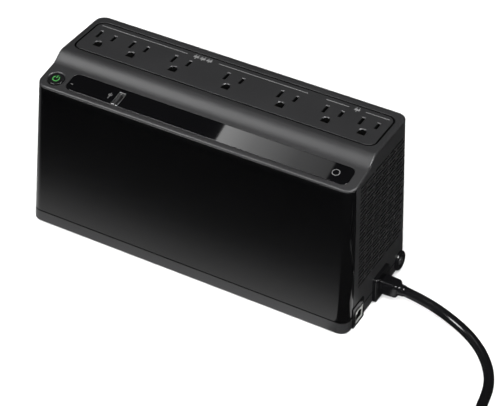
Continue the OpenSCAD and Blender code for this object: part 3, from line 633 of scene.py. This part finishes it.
def shell_loops(outer, inner, z_low, top):
    """Closed cross-sections of an open shell, from its lower edge to its upper edge."""
    lip = arc_profile(EDGE_LIP, 3)
    levels = [(lambda y, d=drop: z_low + d, -inset) for inset, drop in reversed(lip)]
    for i in range(1, SHELL_LEVELS):
        levels.append((lambda y, t=i / SHELL_LEVELS: z_low + (top(y) - z_low) * t, 0.0))
    levels += [(lambda y, d=drop: top(y) - d, -inset) for inset, drop in lip]
    loops = []
    for height, grow in levels:
        loop = [settle_height(s, grow + edge, height) for s, edge in outer]
        loop += [settle_height(s, -WALL, height) for s in reversed(inner)]
        loops.append(loop)
    return loops


def joint_top(y):
    return roof(y) - RIM_T


def front_path():
    """Stations of the front shell, from its left seam to its right seam."""
    seam = SPLIT_Y - SEAM_GAP / 2
    left = [(s, 0.0) for s in reversed(seam_stations(-1, seam, SEAM_STEPS, -1))]
    right = [(s, 0.0) for s in seam_stations(1, seam, SEAM_STEPS, -1)]
    right.reverse()
    middle = [(s, 0.0) for s in side_steps(-1, 1)]
    path = list(reversed(left)) + middle + right
    plain = [s for s, _ in path]
    lips = [(seam, -LIP), (seam - 0.1, -0.1)]
    first = [(wall_station(-1, y), inset) for y, inset in lips]
    last = [(wall_station(1, y), inset) for y, inset in reversed(lips)]
    path[0] = (wall_station(-1, seam - LIP), 0.0)
    path[-1] = (wall_station(1, seam - LIP), 0.0)
    return first + path + last, [plain[0]] * 2 + plain + [plain[-1]] * 2


# depths of the end walls' stations: 1 mm apart across the step, wider apart elsewhere
END_Y = [-38.5, -36, -33, -30, -27, -24.5] + [STEP_FRONT_Y + i for i in range(14)]
END_Y += [STEP_BACK_Y, -5.5, -2] + [4 + 6 * i for i in range(5)] + [32, 34, 36]
CORNER_Y = END_Y[-1] + 1.5


def case_path():
    """Stations of the main shell, from its right seam round the back to its left seam."""
    seam = SPLIT_Y + SEAM_GAP / 2
    right = [wall_station(1, y) for y in END_Y]
    right += seam_stations(1, CORNER_Y, CORNER_STEPS, 1)
    left = [wall_station(-1, y) for y in END_Y]
    left += seam_stations(-1, CORNER_Y, CORNER_STEPS, 1)
    middle = side_steps(1, -1)
    plain = right + middle + list(reversed(left))
    lips = [(seam, -LIP), (seam + 0.1, -0.1), (seam + LIP, 0.0)]
    first = [(wall_station(1, y), inset) for y, inset in lips]
    last = [(wall_station(-1, y), inset) for y, inset in reversed(lips)]
    outer = first + [(s, 0.0) for s in plain] + last
    start, end = wall_station(1, seam), wall_station(-1, seam)
    return outer, [start] * 3 + plain + [end] * 3


VENT_Y0, VENT_Y1, VENT_Z0 = -33.5, 39.5, 34.5
VENT_ROWS, VENT_PITCH, VENT_H, VENT_L, VENT_BRIDGE = 27, 3.4, 1.7, 21.5, 2.5
# depth into the wall past which the vent slots' walls take painted shade
VENT_SHADE_DEPTH = 0.08
VENT_LIP = 0.1


def slot_outline(l, h):
    """A slot with round ends that can be made wider by a lip."""
    return lambda wider: round_rect(l + 2 * wider, h + 2 * wider, h / 2 + wider - 0.01, 4)


def vent_cutters(sx):
    """Cutters of one end's vents: rows of slots, each row shifted by half a slot."""
    step = VENT_L + VENT_BRIDGE
    made = Shape()
    for row in range(VENT_ROWS):
        z = VENT_Z0 + row * VENT_PITCH + VENT_H / 2
        shift = 0 if row % 2 == 0 else -step / 2
        for k in range(4):
            y0 = max(VENT_Y0, VENT_Y0 + shift + k * step)
            y1 = min(VENT_Y1, VENT_Y0 + shift + k * step + VENT_L)
            if y1 - y0 <= 3:
                continue
            x = wall_station(1, (y0 + y1) / 2)(z, 0)[0]
            cutter = flared(slot_outline(y1 - y0, VENT_H), WALL + 3, VENT_LIP)
            turn = Matrix(((0, 0, sx, 0), (sx, 0, 0, 0), (0, 1, 0, 0), (0, 0, 0, 1)))
            made.add(cutter.place(Matrix.Translation((sx * x, (y0 + y1) / 2, z)) @ turn))
    return made


def box_shape(low, high):
    x0, y0, z0 = low
    x1, y1, z1 = high
    ring = [(x0, y0), (x1, y0), (x1, y1), (x0, y1)]
    shape = Shape()
    shape.loft([raised(ring, z0), raised(ring, z1)])
    return shape


def prism(ring, z0, z1):
    shape = Shape()
    shape.loft([raised(ring, z0), raised(ring, z1)])
    return shape


def slab(outline, z0, z1, r, steps=4, low_r=0.0):
    """A plate with a rounded top edge of radius r and, if asked, a rounded lower edge."""
    loops = []
    if low_r:
        loops += [raised(outline(-inset), z0 + drop) for inset, drop in reversed(arc_profile(low_r, steps))]
    else:
        loops.append(raised(outline(0), z0))
    loops += [raised(outline(-inset), z1 - drop) for inset, drop in arc_profile(r, steps)]
    shape = Shape()
    shape.loft(loops)
    return shape


def sized_rect(l, d, r, steps=8):
    return lambda wider: round_rect(l + 2 * wider, d + 2 * wider, max(r + wider, 0.02), steps)


def sized_circle(r):
    return lambda wider: circle(r + wider)


def turned(profile, steps=64):
    """A solid turned about Z, from (radius, height) pairs that start and end on or off the axis."""
    shape = Shape()
    shape.loft([raised(circle(max(r, 0.01), steps), z) for r, z in profile])
    return shape


PASSAGE_IN, PASSAGE_OUT = -12, 8


def jack_recess():
    low, high = node_box("jack_housing")
    middle_y = (low.y + high.y) / 2
    middle_z = (low.z + high.z) / 2
    plate = prism(round_rect(high.z - low.z + 0.3, high.y - low.y + 0.3, 1.2), -1, 3)
    return plate.place(on_right_end(middle_y, middle_z))


def jack_passage():
    low, high = node_box("data_jack")
    return box_shape((low.x - 4, low.y - 0.15, low.z - 0.1), (high.x + 8, high.y + 0.15, high.z + 0.15))


def bezel_passage():
    return prism(round_rect(17.3, 20.6, 1), PASSAGE_IN, PASSAGE_OUT).place(on_right_end(CORD_Y, CORD_Z))


def breaker_passage():
    return prism(circle(5.6), PASSAGE_IN, PASSAGE_OUT).place(on_right_end(BREAKER_Y, BREAKER_Z))


def end_passages():
    return [jack_recess(), jack_passage(), bezel_passage(), breaker_passage()]


def make_front_panel():
    outer, inner = front_path()
    shape = Shape()
    shape.loft(shell_loops(outer, inner, SEAM_Z + SEAM_GAP / 2, joint_top))
    made = shape.object("front_shell")
    cut(made, jack_recess())
    return settle(shade(made), "root", "front_gloss", MATERIALS["front_gloss"], "front_panel")


def make_main_case():
    outer, inner = case_path()
    shape = Shape()
    shape.loft(shell_loops(outer, inner, SEAM_Z + SEAM_GAP / 2, joint_top))
    made = shape.object("case_shell")
    cut(made, vent_cutters(1))
    cut(made, vent_cutters(-1))
    for passage in end_passages():
        cut(made, passage)
    settle(shade(made), "root", "case_plastic", MATERIALS["case_plastic"], "main_case")
    # painted shade: the inner walls of the vent slots are made near-black
    return paint_shade_inside(made, in_vent_shade)


# Picks the vent slots' inner walls that take painted shade.
def in_vent_shade(centre, normal):
    depth = half_l(centre.z) - abs(centre.x)
    high = VENT_Z0 - 1 < centre.z < VENT_Z0 + VENT_ROWS * VENT_PITCH
    return high and VENT_SHADE_DEPTH < depth < WALL - 0.05 and abs(normal.x) < 0.6 and abs(centre.y) < VENT_Y1 + 1


def rim_stations():
    """The whole outline of the case, counter-clockwise from its right front corner."""
    front_y = END_Y[0]
    right_front = list(reversed(seam_stations(1, front_y, CORNER_STEPS, -1)))
    right_back = seam_stations(1, CORNER_Y, CORNER_STEPS, 1)
    left_back = list(reversed(seam_stations(-1, CORNER_Y, CORNER_STEPS, 1)))
    left_front = seam_stations(-1, front_y, CORNER_STEPS, -1)
    right = [wall_station(1, y) for y in END_Y[1:]]
    left = [wall_station(-1, y) for y in reversed(END_Y[1:])]
    return (right_front + right + right_back + side_steps(1, -1) + left_back + left + left_front
            + side_steps(-1, 1))


ROOF_R = 1.3
RIM_LIP = 0.25
RIM_DROP = 7
RIM_GAP = 0.15
RIM_BACK = 1.4
EDGE_ROWS = 7
BACK_EDGE = 2.6
WIDENING_Y, WIDENING_RUN = -23, 45
CUT_DEPTH = 12
BUTTON_GAP = 0.2
BUTTON_CHAMFER = 1.05
# depth of the chamfer for its width: over 0.8, so that shade() keeps its edges sharp
CHAMFER_STEEPNESS = 0.9


def edge_width(station):
    """How much wider the rounded edge is than at the front: it broadens round the deck."""
    share = max(0.0, min(1.0, (station(CASE_H, 0)[1] - WIDENING_Y) / WIDENING_RUN))
    return 1 + (BACK_EDGE - 1) * share * share * (3 - 2 * share)


def make_top_cover():
    stations = rim_stations()
    profile = [(WALL + RIM_BACK, COVER_T), (WALL + RIM_BACK, RIM_DROP), (WALL + RIM_GAP, RIM_DROP),
               (WALL + RIM_GAP, RIM_T)]
    profile += [(inset, RIM_T - drop) for inset, drop in reversed(arc_profile(RIM_LIP, 3))]
    profile += arc_profile(ROOF_R, EDGE_ROWS - 1)
    shape = Shape()
    edge_start = len(profile) - EDGE_ROWS
    rows = [shape.row([settle_height(s, -inset * (edge_width(s) if i >= edge_start else 1),
                                     lambda y, d=drop: roof(y) - d) for s in stations])
            for i, (inset, drop) in enumerate(profile)]
    for a, b in zip(rows, rows[1:]):
        shape.bridge(a, b)
    lines = [-44 + 4 * i for i in range(6)] + [STEP_FRONT_Y + 0.9 * i for i in range(16)]
    lines += [-5 + 6.5 * i for i in range(8)]
    grid = [(x, y) for y in lines for x in range(-132, 133, 6)]
    shape.fill(rows[-1], grid, roof)
    shape.fill(rows[0], grid, lambda y: roof(y) - COVER_T, flip=True)
    made = shape.object("roof_shell")
    panel = sized_rect(PANEL_L + 2 * PANEL_GAP, PANEL_D + 2 * PANEL_GAP, PANEL_R + PANEL_GAP)
    cut(made, flared(panel, CUT_DEPTH).place(Matrix.Translation((0, PANEL_Y, CASE_H))))
    pocket = flared(sized_rect(STRIP_X1 - STRIP_X0 + 0.7, STRIP_D + 0.7, STRIP_R + 0.35), STRIP_T, 0.2)
    cut(made, pocket.place(on_shelf(STRIP_X, STRIP_Y)))
    port = prism(round_rect(USB_W + 0.8, USB_L + 0.8, 0.6), -20, 5)
    cut(made, port.place(on_shelf(USB_X, USB_Y)))
    hole = flared(sized_circle(BUTTON_R + BUTTON_GAP), CUT_DEPTH, BUTTON_CHAMFER, steps=1)
    steep = Matrix.Diagonal((1, 1, CHAMFER_STEEPNESS, 1))
    cut(made, hole.place(on_shelf(BUTTON_X, BUTTON_Y) @ steep))
    settle(shade(made), "root", "case_plastic", MATERIALS["case_plastic"], "top_cover")
    # painted shade: the walls of the panel opening below its top are made near-black
    return paint_shade_inside(made, in_panel_shade)


# Picks the walls of the panel opening that take painted shade.
def in_panel_shade(centre, normal):
    within = abs(centre.x) < PANEL_L / 2 + 2 and abs(centre.y - PANEL_Y) < PANEL_D / 2 + 2
    return within and centre.z < CASE_H - 0.26 and abs(normal.z) < 0.6


def make_inlay_strip():
    strip = slab(sized_rect(STRIP_X1 - STRIP_X0, STRIP_D, STRIP_R), -STRIP_T + 0.02, -0.05, 0.25)
    made = strip.place(on_shelf(STRIP_X, STRIP_Y)).object("gloss_strip")
    port = flared(sized_rect(USB_W + 0.5, USB_L + 0.5, 0.5), 3, 0.2).place(on_shelf(USB_X, USB_Y))
    cut(made, port)
    return settle(shade(made), "root", "strip_gloss", MATERIALS["strip_gloss"], "inlay_strip")


def ground_outline(wider, r=3, l=6.5, corner=0.35, steps=12):
    """The ground hole: flat towards the front, round towards the blade slots."""
    middle = l / 2 - r
    r, low = r + wider, -l / 2 - wider
    points = [(r * math.cos(math.pi * i / steps), middle + r * math.sin(math.pi * i / steps))
              for i in range(steps + 1)]
    c = corner + wider
    for x, start in ((-r + c, 180), (r - c, 270)):
        for i in range(5):
            a = math.radians(start + 90 * i / 4)
            points.append((x + c * math.cos(a), low + c + c * math.sin(a)))
    return points


SLOT_CHAMFER = 0.6
GROOVE = 1


def make_outlet_panel():
    outline = sized_rect(PANEL_L, PANEL_D, PANEL_R)
    low, top = PANEL_LOW.z, PANEL_HIGH.z
    loops = [raised(outline(1.5), low), raised(outline(1.5), low + 1.3), raised(outline(0), low + 1.3)]
    loops.append(raised(outline(-GROOVE), low + 1.3))
    loops += [raised(outline(-GROOVE - inset), top - drop) for inset, drop in arc_profile(0.3, 3)]
    shape = Shape()
    shape.loft(loops)
    made = shape.place(Matrix.Translation((0, PANEL_Y, 0))).object("outlet_deck")
    cutters = Shape()
    for x in OUTLET_X:
        for side, length in ((-1, 9.0), (1, 7.3)):
            slot = flared(sized_rect(2.3, length, 0.35, 4), CUT_DEPTH, SLOT_CHAMFER, steps=1)
            cutters.add(slot.place(Matrix.Translation((x + side * SLOT_PITCH / 2, SLOT_Y, top))))
        hole = flared(ground_outline, CUT_DEPTH, SLOT_CHAMFER, steps=1)
        cutters.add(hole.place(Matrix.Translation((x, GROUND_Y, top))))
    cut(made, cutters)
    settle(shade(made), "root", "case_plastic", MATERIALS["case_plastic"], "outlet_panel")
    # painted shade: all faces lower than just below the chamfers, the slot and hole walls among them, are
    # made near-black
    return paint_shade_inside(made, lambda centre, normal: centre.z < top - 0.32 - SLOT_CHAMFER / 2)


BASE_R = 2.2
BASE_LIP = 0.55
BAY_LOW, BAY_HIGH = (-78, -28), (78, 42)
DOOR_GAP, DOOR_RECESS = 0.3, 3.65
KEYHOLE_X, KEYHOLE_R, KEYHOLE_SLOT, KEYHOLE_L = 93.5, 4.5, 2.2, 10
SCREW_X, SCREW_Y, SCREW_R, SCREW_RECESS = 98, 45, 3.3, 3.2
FOOT_X, FOOT_Y, FOOT_R, FOOT_RECESS = 119, 35, 7, 2.3


def make_base_tray():
    stations = rim_stations()
    low, top = FOOT_H, SEAM_Z - SEAM_GAP / 2
    profile = [(inset, low + drop) for inset, drop in reversed(arc_profile(BASE_R, 5))]
    profile += [(inset, top - drop) for inset, drop in arc_profile(BASE_LIP, 2)]
    profile += [(1.3, top), (1.3, SEAM_Z + 3), (WALL, SEAM_Z + 3), (WALL, FLOOR_TOP)]
    shape = Shape()
    shape.loft([[settle_height(s, -inset, lambda y, h=z: h) for s in stations] for inset, z in profile])
    made = shape.object("tray_shell")
    door_low, door_high = node_box("battery_door")
    opening = [
        box_shape((*BAY_LOW, 0), (*BAY_HIGH, FLOOR_TOP + 1)),
        box_shape((door_low.x - DOOR_GAP, door_low.y - DOOR_GAP, 0),
                  (door_high.x + DOOR_GAP, 70, DOOR_RECESS)),
    ]
    for side in (-1, 1):
        x = side * KEYHOLE_X
        opening.append(prism([(x + a, y) for a, y in circle(KEYHOLE_R)], 0, FLOOR_TOP + 1))
        opening.append(box_shape((x - KEYHOLE_SLOT, 0, 0), (x + KEYHOLE_SLOT, KEYHOLE_L, FLOOR_TOP + 1)))
        for y in (-SCREW_Y, SCREW_Y):
            opening.append(prism([(a + side * SCREW_X, b + y) for a, b in circle(SCREW_R)], 0, SCREW_RECESS))
        for y in (-FOOT_Y, FOOT_Y):
            opening.append(prism([(a + side * FOOT_X, b + y) for a, b in circle(FOOT_R)], 0, FOOT_RECESS))
    for shape in opening + end_passages():
        cut(made, shape)
    settle(shade(made), "root", "case_plastic", MATERIALS["case_plastic"], "base_tray")
    # painted shade: the tray's top lip and inner lip, seen through the seam gap, are made near-black
    return paint_shade_inside(made, lambda centre, normal: centre.z > top - BASE_LIP)


def make_button():
    r = BUTTON_R
    profile = [(1.5, -14), (1.5, -9.4), (r + 1.2, -9.4), (r + 1.2, -8), (r, -8)]
    profile += [(r - inset, 0.3 - drop) for inset, drop in arc_profile(0.6, 5)]
    profile += [(r - 1.4, 0.22), (r - 2.2, 0.16), (0, 0.14)]
    made = turned(profile).place(on_shelf(BUTTON_X, BUTTON_Y)).object("button_cap")
    return settle(shade(made), "power_button_body", "button_plastic", MATERIALS["button_plastic"],
                  "power_button")


def make_bezel():
    outline = sized_rect(21.2, 24.5, 2.2)
    made = slab(outline, 0.02, 3, 0.7, 5).place(on_right_end(CORD_Y, CORD_Z)).object("bezel_plate")
    return settle(shade(made), "root", "trim_plastic", MATERIALS["trim_plastic"], "cord_bezel")


def make_strain_relief():
    """A square boot with round edges that tapers to the cord."""
    low, high = node_box("strain_relief")
    spans = [(low.x, 5.4, 2.5), (137, 5.4, 2.5), (140.3, 5.6, 2.6), (140.4, 6.2, 2.9), (141.1, 6.3, 2.9),
             (146, 6.15, 2.9), (151.6, 5.95, 2.9), (152.6, 5.7, 2.9), (153.3, 5.0, 2.7), (153.5, 4.6, 2.9),
             (154.2, 4.5, 4.4), (156.5, 4.35, 4.3), (157.6, 4.2, 4.15), (high.x, 3.95, 3.9)]
    shape = Shape()
    loops = []
    for x, half, r in spans:
        ring = round_rect(2 * half, 2 * half, r, 8)
        loops.append([(x, CORD_Y + a, CORD_Z + b) for a, b in ring])
    shape.loft(loops)
    made = shape.object("cord_boot")
    return settle(shade(made, 50), "root", "cord_rubber", MATERIALS["cord_rubber"], "strain_relief")


def make_breaker():
    nut = [(4.4, -3), (5.5, -3), (5.5, 0.05), (8, 0.05), (8, 0.9), (7.85, 1.3), (7.5, 1.9), (7.0, 2.35),
           (6.5, 2.45), (5.6, 2.2), (4.6, 1.7), (4.4, 1.5)]
    shape = Shape()
    rows = [shape.row(raised(circle(r), z)) for r, z in nut]
    for a, b in zip(rows, rows[1:] + rows[:1]):
        shape.bridge(a, b)
    ring = shape.place(on_right_end(BREAKER_Y, BREAKER_Z)).object("breaker_ring")
    settle(shade(ring), "root", "trim_plastic", MATERIALS["trim_plastic"], "breaker_nut")
    low, high = node_box("breaker_button")
    x1 = high.x
    profile = [(3.6, low.x), (3.6, x1 - 0.9), (3.45, x1 - 0.45), (3.1, x1 - 0.15), (2.5, x1),
               (2.1, x1 - 0.1), (1.4, x1 - 0.25), (0, x1 - 0.3)]
    cap = turned(profile, 48).place(Matrix.Translation((0, BREAKER_Y, BREAKER_Z))
                                    @ Matrix.Rotation(math.pi / 2, 4, "Y")).object("breaker_cap")
    settle(shade(cap), "breaker_button_body", "breaker_plastic", MATERIALS["breaker_plastic"],
           "breaker_button")


PLUG_X, PLUG_Y, PLUG_Z = 310, 24, 7
PLUG_L, PLUG_D = 38, 30
GRIP_PITCH, GRIP_HALF = 5, 0.7


def make_plug():
    body = slab(sized_rect(PLUG_L, PLUG_D, 9), 0.0, node_box("plug_body")[1].z, 2.2, 6, 1.5)
    made = body.place(Matrix.Translation((PLUG_X, PLUG_Y, 0))).object("plug_shell")
    for i in range(-2, 3):
        for side in (-1, 1):
            x, y = PLUG_X + GRIP_PITCH * i, PLUG_Y + side * PLUG_D / 2
            cut(made, box_shape((x - GRIP_HALF, y - GRIP_HALF, 3), (x + GRIP_HALF, y + GRIP_HALF, 11)))
    neck = turned([(6.4, -8), (6.2, -2), (5.6, 1), (4.9, 4), (4.3, 7), (4.1, 9)], 40)
    turn = Matrix.Rotation(math.pi / 2, 4, "Y")
    boot = neck.place(Matrix.Translation((PLUG_X + 13, PLUG_Y, PLUG_Z)) @ turn).object("plug_boot")
    settle(shade(boot), "root", "cord_rubber", MATERIALS["cord_rubber"])
    return settle(shade(made), "root", "cord_rubber", MATERIALS["cord_rubber"], "plug_body"), boot


def paint_jack_mouth_shade():
    """A thin near-black sheet inside the data jack's mouth, open to the outside: painted shade in the
    recess.
    """
    mouth_low, mouth_high = (124.3, -35.95, 4.25), (node_box("data_jack")[1].x - 0.7, -26.05, 11.15)
    made = box_shape(mouth_low, mouth_high).object("jack_mouth_shade")
    inner_low = tuple(c + 0.12 for c in mouth_low)
    cut(made, box_shape(inner_low, (mouth_high[0] + 5, mouth_high[1] - 0.12, mouth_high[2] - 0.12)))
    return settle(shade(made), "root", "inner_plastic", MATERIALS["inner_plastic"])


def make_tie():
    low, high = node_box("cord_tie")
    middle = (low + high) / 2
    width, height, depth = high.x - low.x, high.z - low.z, high.y - low.y
    shape = Shape()
    loops = []
    for y, inset in ((-depth / 2, 0.3), (-depth / 2 + 0.3, 0), (depth / 2 - 0.3, 0), (depth / 2, 0.3)):
        ring = round_rect(width - 2 * inset, height - 2 * inset, 3.5, 6)
        loops.append([(middle.x - a, middle.y + y, middle.z + b) for a, b in ring])
    for y in (depth / 2, -depth / 2):
        ring = round_rect(width - 1.6, height - 1.6, 2.7, 6)
        loops.append([(middle.x - a, middle.y + y, middle.z + b) for a, b in ring])
    rows = [shape.row(loop) for loop in loops]
    for a, b in zip(rows, rows[1:] + rows[:1]):
        shape.bridge(a, b)
    made = shape.object("tie_band")
    return settle(shade(made), "root", "tie_plastic", MATERIALS["tie_plastic"], "cord_tie")


make_front_panel()
make_main_case()
make_top_cover()
make_inlay_strip()
make_outlet_panel()
make_base_tray()
make_button()
make_bezel()
boot = make_strain_relief()
make_breaker()
paint_jack_mouth_shade()
plug_shell, plug_boot = make_plug()
tie = make_tie()

for name, width in (("usb_shell", 0.15), ("data_jack", 0.3), ("jack_housing", 0.35), ("plug_blades", 0.2),
                    ("rubber_feet", 0.3), ("battery_door", 0.25), ("battery_case", 0.8),
                    ("battery_lid", 0.5), ("heat_sink", 0.2), ("relays", 0.4), ("transformer_core", 0.3),
                    ("transformer_coil", 0.8), ("bulk_capacitors", 0.5), ("varistors", 0.8)):
    soften(name, width)

settle(cord, "root", "cord_rubber", MATERIALS["cord_rubber"], "power_cord", "cord_coil")


# ---- stage ----
def stage_plane(name, centre, width, depth, material, turn=None):
    half_w, half_h = width / 2, depth / 2
    shape = Shape()
    shape.faces.append(tuple(shape.row([(-half_w, -half_h, 0), (half_w, -half_h, 0), (half_w, half_h, 0),
                                        (-half_w, half_h, 0)])))
    shape.place(Matrix.Translation(centre) @ (turn or Matrix.Identity(4)))
    made = shape.object(name)
    made.data.materials.append(material)
    return made


FLOOR_GLOW = (1.2, 3.2)


def pale_floor():
    """A pale floor; far from the object, beyond the reach of the lights, it stays pale by a glow."""
    n = Nodes("pale_floor")
    place = n.add("ShaderNodeNewGeometry")
    away = n.add("ShaderNodeVectorMath")
    away.operation = "LENGTH"
    rise = n.add("ShaderNodeMapRange")
    rise.inputs["From Min"].default_value = FLOOR_GLOW[0]
    rise.inputs["From Max"].default_value = FLOOR_GLOW[1]
    n.link(place.outputs["Position"], away.inputs[0])
    n.link(away.outputs["Value"], rise.inputs["Value"])
    n.link(rise.outputs["Result"], n.bsdf.inputs["Emission Strength"])
    n.bsdf.inputs["Emission Color"].default_value = (1, 1, 1, 1)
    n.link(n.tint(n.noise(3, 2), (0.93, 0.93, 0.93), (0.96, 0.96, 0.96)), n.bsdf.inputs["Base Color"])
    n.bsdf.inputs["Roughness"].default_value = 0.9
    n.bsdf.inputs["Specular IOR Level"].default_value = 0.1
    return n.material


def pale_backdrop():
    """The plain pale wall of the studio, far round the object; it lights nothing."""
    material = bpy.data.materials.new("pale_backdrop")
    material.use_nodes = True
    tree = material.node_tree
    tree.nodes.clear()
    glow = tree.nodes.new("ShaderNodeEmission")
    glow.inputs["Color"].default_value = (1, 1, 1, 1)
    output = tree.nodes.new("ShaderNodeOutputMaterial")
    tree.links.new(glow.outputs["Emission"], output.inputs["Surface"])
    return material


def only_seen(card):
    """The camera sees the card, but it is in no reflection and neither lights nor shades anything."""
    card.visible_glossy = False
    card.visible_diffuse = False
    card.visible_shadow = False
    card.visible_transmission = False


floor = stage_plane("floor", (0, 0, 0), 12000, 12000, pale_floor())
floor.visible_glossy = False
WALL_AWAY = 4200
backdrop = pale_backdrop()
for index in range(8):
    around = Matrix.Rotation(math.radians(45 * index), 4, "Z")
    upright = around @ Matrix.Rotation(math.radians(90), 4, "X")
    only_seen(stage_plane("backdrop_%d" % index, around @ Vector((0, WALL_AWAY, 2000)),
                          2 * WALL_AWAY * math.tan(math.radians(22.5)), 5000, backdrop, upright))


def area_light(name, place, target, width, height, power, diffuse=True, glossy=True):
    """A soft box that shines from one place to another."""
    data = bpy.data.lights.new(name, "AREA")
    data.shape = "RECTANGLE"
    data.size = width * MM
    data.size_y = height * MM
    data.energy = power
    made = bpy.data.objects.new(name, data)
    made.location = Vector(place) * MM
    made.rotation_mode = "QUATERNION"
    made.rotation_quaternion = (Vector(target) - Vector(place)).to_track_quat("-Z", "Y")
    made.visible_diffuse = diffuse
    made.visible_glossy = glossy
    made.visible_camera = False
    bpy.context.scene.collection.objects.link(made)


def level_curve(tree, coordinate, low, high, levels):
    """Brightness along one axis of a card: `levels` are (place in mm, brightness), in order."""
    curve = tree.nodes.new("ShaderNodeFloatCurve")
    scale = tree.nodes.new("ShaderNodeMath")
    scale.operation = "MULTIPLY"
    peak = max(level for _, level in levels)
    scale.inputs[1].default_value = peak
    points = curve.mapping.curves[0].points
    places = [((place - low) / (high - low), level / peak) for place, level in levels]
    points[0].location = places[0]
    points[1].location = places[-1]
    for place, level in places[1:-1]:
        points.new(place, level)
    for point in points:
        point.handle_type = "VECTOR"
    curve.mapping.update()
    tree.links.new(coordinate, curve.inputs["Value"])
    tree.links.new(curve.outputs["Value"], scale.inputs[0])
    return scale.outputs["Value"]


def glow_card(name, z, along_x, along_y):
    """A level card that only shows in reflections; its brightness is the product of two curves."""
    material = bpy.data.materials.new(name)
    material.use_nodes = True
    tree = material.node_tree
    tree.nodes.clear()
    coords = tree.nodes.new("ShaderNodeTexCoord")
    split = tree.nodes.new("ShaderNodeSeparateXYZ")
    strength = tree.nodes.new("ShaderNodeMath")
    strength.operation = "MULTIPLY"
    glow = tree.nodes.new("ShaderNodeEmission")
    output = tree.nodes.new("ShaderNodeOutputMaterial")
    tree.links.new(coords.outputs["Generated"], split.inputs["Vector"])
    x0, x1, y0, y1 = along_x[0][0], along_x[-1][0], along_y[0][0], along_y[-1][0]
    tree.links.new(level_curve(tree, split.outputs["X"], x0, x1, along_x), strength.inputs[0])
    tree.links.new(level_curve(tree, split.outputs["Y"], y0, y1, along_y), strength.inputs[1])
    tree.links.new(strength.outputs["Value"], glow.inputs["Strength"])
    tree.links.new(glow.outputs["Emission"], output.inputs["Surface"])
    card = stage_plane(name, ((x0 + x1) / 2, (y0 + y1) / 2, z), x1 - x0, y1 - y0, material)
    card.visible_camera = False
    card.visible_diffuse = False
    card.visible_shadow = False
    card.visible_transmission = False


world = bpy.data.worlds.new("studio")
world.use_nodes = True
world.node_tree.nodes["Background"].inputs["Color"].default_value = (1, 1, 1, 1)
world.node_tree.nodes["Background"].inputs["Strength"].default_value = 0.03
bpy.context.scene.world = world
bpy.context.scene.view_settings.view_transform = "Standard"

area_light("top_box", (0, 0, 1600), (0, 0, 0), 2200, 2200, 26, glossy=False)
area_light("fill_box", (560, -1290, 1150), (0, 0, 40), 1300, 1300, 68, glossy=False)
area_light("key_box", (-640, -790, 1050), (0, -12, 136), 600, 600, 21.5, diffuse=False)
area_light("rim_box", (520, -190, 760), (170, 0, 20), 320, 320, 12, diffuse=False)
glow_card("front_glow", 0.4, [(-420, 0.3), (-250, 0.5), (-150, 1), (0, 1), (121, 1.3)],
          [(-230, 0), (-178, 0.025), (-152, 0.05), (-133, 0.09), (-117, 0.16), (-101, 0.3), (-84, 0.54),
           (-56, 1), (0, 0.4), (120, 0.2)])
glow_card("end_glow", 0.4, [(146, 0.8), (176, 0.8)], [(-30, 1), (-8, 1)])
glow_card("strip_glow", 630, [(-224, 4.6), (-184, 2.6), (-132, 1.2), (-92, 0.8)], [(130, 1), (300, 1)])
